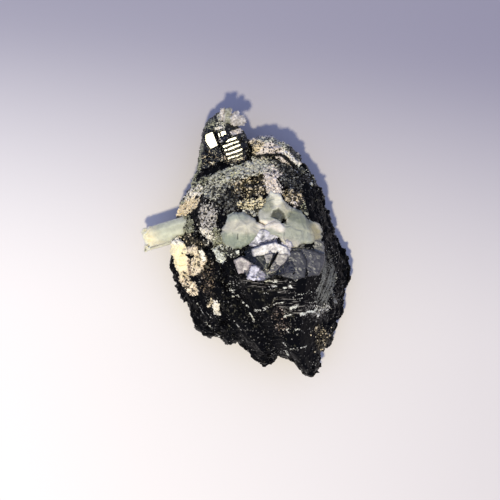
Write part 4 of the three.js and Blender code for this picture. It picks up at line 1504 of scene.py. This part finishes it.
class SPECIMEN_OT_grains(bpy.types.Operator):
    """Strew loose grains over the granular patches of the body"""

    bl_idname = "specimen.grains"
    bl_label = "Grains"

    def execute(self, context):
        scene = context.scene
        size = scene.specimen_body
        look = scene.specimen_grains
        mean = look.size / MM
        rng = np.random.default_rng(look.seed)
        rings, normals = body_surface(size.columns, size.crown_rows, size.base_rows)
        upper = slice(2, size.crown_rows)
        beside = np.roll(rings, -1, 1)[upper] - rings[upper]
        below = rings[3:size.crown_rows + 1] - rings[upper]
        area = np.linalg.norm(np.cross(beside, below), axis=-1)
        spots, facing = rings[upper].reshape(-1, 3), normals[upper].reshape(-1, 3)
        area = area.ravel()
        _, _, _, masks = body_paint(spots)
        places, colours = [], []
        for (_, _, colour, pale_share, density), mask in zip(PATCHES, masks):
            weight = area * mask
            count = int(density * weight.sum())
            if count == 0:
                continue
            chosen = rng.choice(len(spots), count, p=weight / weight.sum())
            places.append(spots[chosen] + facing[chosen] * rng.uniform(-0.14, 0.1, (count, 1)))
            dark = rng.random(count) > pale_share
            shade = np.where(dark, 0.05, rng.uniform(0.55, 1.25, count))
            paler = rng.uniform(0, 0.4, (count, 1)) ** 2 * ~dark[:, None]
            own = np.maximum(0.003, colour * shade[:, None])
            own = own * np.minimum(1, 0.95 / own.max(1, keepdims=True))
            colours.append(own * (1 - paler) + paler)
        places, colours = np.concatenate(places), np.concatenate(colours)
        sizes = mean * rng.lognormal(0, 0.35, len(places))
        points, faces, tint = blocks(places, colours, sizes, rng)
        material = grainy_material("Loose Grain", 0.45, 1.5)
        make_piece("matrix_grains", points, faces, material, "feldspar", smooth=False, tint=tint,
                   cover=np.full(len(points), 2.0))
        return {"FINISHED"}


# The floor's half width in metres, and the light's falloff painted into its colour: the direction
# that points towards its light end, where along it the change begins and ends, its power, the level
# under which it stays even with how softly it meets that level, and where the change to the right
# begins and ends.
FLOOR_HALF = 1.5
LIGHT_END = (-0.1, -0.995, 0)
FLOOR_CHANGE = (-85, 25)
FLOOR_POWER = 0.8
FLOOR_LEVEL = (0.3, 0.2)
FLOOR_SIDES = (-60, 60)
# The key light's width in metres, its power and colour, and the colour of the room's light.
KEY_SIZE = 0.036
KEY_POWER = 2.16
KEY_COLOUR = (1.0, 0.915, 0.62)
ROOM_COLOUR = (0.4, 0.47, 0.73)


class SPECIMEN_OT_stage(bpy.types.Operator):
    """Set out the floor, the lights and the camera"""

    bl_idname = "specimen.stage"
    bl_label = "Floor, Lights and Camera"

    def execute(self, context):
        scene = context.scene
        look = scene.specimen_stage
        self.floor(scene, look)
        self.light(scene, "key", Vector(KEY_PLACE * MM), KEY_SIZE, KEY_POWER, KEY_COLOUR)
        world = bpy.data.worlds.new("room")
        world.use_nodes = True
        background = world.node_tree.nodes["Background"]
        background.inputs["Color"].default_value = (*ROOM_COLOUR, 1)
        background.inputs["Strength"].default_value = 1.0
        scene.world = world
        camera = bpy.data.objects.new("camera", bpy.data.cameras.new("camera"))
        scene.collection.objects.link(camera)
        camera.location = (*CAMERA_PLACE[:2] * MM, WAIST * MM + look.distance)
        camera.data.sensor_width = 36
        camera.data.lens = 36 * look.distance / look.width
        camera.data.clip_start = 0.01
        scene.camera = camera
        scene.view_settings.view_transform = "Standard"
        return {"FINISHED"}

    def floor(self, scene, look):
        """A plain floor whose colour changes evenly from its far end and sides to the light end: the
        light's falloff, painted into its colour.
        """
        mesh = bpy.data.meshes.new("floor")
        half = FLOOR_HALF
        corners = [(-half, -half, 0), (half, -half, 0), (half, half, 0), (-half, half, 0)]
        mesh.from_pydata(corners, [], [(0, 1, 2, 3)])
        material, tree, shader = shader_material("Pale Floor")
        coordinates = add(tree, "ShaderNodeTexCoord")
        along = add(tree, "ShaderNodeVectorMath", operation="DOT_PRODUCT")
        along.inputs[1].default_value = LIGHT_END
        tree.links.new(coordinates.outputs["Object"], along.inputs[0])
        begin, end = (place * MM for place in FLOOR_CHANGE)
        share = ranged(tree, along.outputs["Value"], begin, end, 0, 1, "SMOOTHSTEP")
        light_end = add(tree, "ShaderNodeMath", operation="POWER")
        light_end.inputs[1].default_value = FLOOR_POWER
        tree.links.new(share, light_end.inputs[0])
        levelled = add(tree, "ShaderNodeMath", operation="SMOOTH_MAX")
        levelled.inputs[1].default_value = FLOOR_LEVEL[0]
        levelled.inputs[2].default_value = FLOOR_LEVEL[1]
        tree.links.new(light_end.outputs[0], levelled.inputs[0])
        sides = add(tree, "ShaderNodeSeparateXYZ")
        tree.links.new(coordinates.outputs["Object"], sides.inputs["Vector"])
        left, right = (place * MM for place in FLOOR_SIDES)
        to_right = ranged(tree, sides.outputs["X"], left, right, 0, 1)
        near = mixed(tree, "MIX", to_right, (*look.floor, 1), (*look.right_floor, 1))
        colour = mixed(tree, "MIX", levelled.outputs[0], (*look.far_floor, 1), near)
        tree.links.new(colour, shader.inputs["Base Color"])
        shader.inputs["Roughness"].default_value = 0.8
        shader.inputs["Specular IOR Level"].default_value = 0.2
        mesh.materials.append(material)
        floor = bpy.data.objects.new("floor", mesh)
        scene.collection.objects.link(floor)

    def light(self, scene, name, place, size, power, colour):
        """An area light at a place, turned to the specimen."""
        lamp = bpy.data.lights.new(name, "AREA")
        lamp.shape = "DISK"
        lamp.size = size
        lamp.energy = power
        lamp.color = colour
        light = bpy.data.objects.new(name, lamp)
        scene.collection.objects.link(light)
        light.location = place
        light.rotation_euler = place.to_track_quat("Z", "Y").to_euler()


# The operators in the order in which they run.
OPERATORS = [
    SPECIMEN_OT_stage,
    SPECIMEN_OT_tourmaline_body,
    SPECIMEN_OT_tourmaline_stub,
    SPECIMEN_OT_beryl_prism,
    SPECIMEN_OT_beryl_vein,
    SPECIMEN_OT_quartz_window,
    SPECIMEN_OT_quartz_tips,
    SPECIMEN_OT_feldspar,
    SPECIMEN_OT_grains,
]
SETTINGS = {
    "specimen_body": BodySettings,
    "specimen_beryl": BerylSettings,
    "specimen_quartz": QuartzSettings,
    "specimen_grains": GrainSettings,
    "specimen_stage": StageSettings,
}


class SPECIMEN_PT_panel(bpy.types.Panel):
    """Lists the specimen's settings and the operators that make it"""

    bl_label = "Specimen"
    bl_idname = "SPECIMEN_PT_panel"
    bl_space_type = "VIEW_3D"
    bl_region_type = "UI"
    bl_category = "Specimen"

    def draw(self, context):
        for name, group in SETTINGS.items():
            box = self.layout.box()
            for prop in group.__annotations__:
                box.prop(getattr(context.scene, name), prop)
        for operator in OPERATORS:
            self.layout.operator(operator.bl_idname)


def register():
    """Make the settings, the operators and the panel known."""
    for cls in (*SETTINGS.values(), *OPERATORS, SPECIMEN_PT_panel):
        bpy.utils.register_class(cls)
    for name, group in SETTINGS.items():
        setattr(bpy.types.Scene, name, PointerProperty(type=group))


def unregister():
    """Take the settings, the operators and the panel away again."""
    for name in SETTINGS:
        delattr(bpy.types.Scene, name)
    for cls in (SPECIMEN_PT_panel, *reversed(OPERATORS), *SETTINGS.values()):
        bpy.utils.unregister_class(cls)


def main():
    """Make the specimen and its scene."""
    register()
    for operator in OPERATORS:
        group, name = operator.bl_idname.split(".")
        getattr(getattr(bpy.ops, group), name)()


if __name__ == "__main__":
    main()
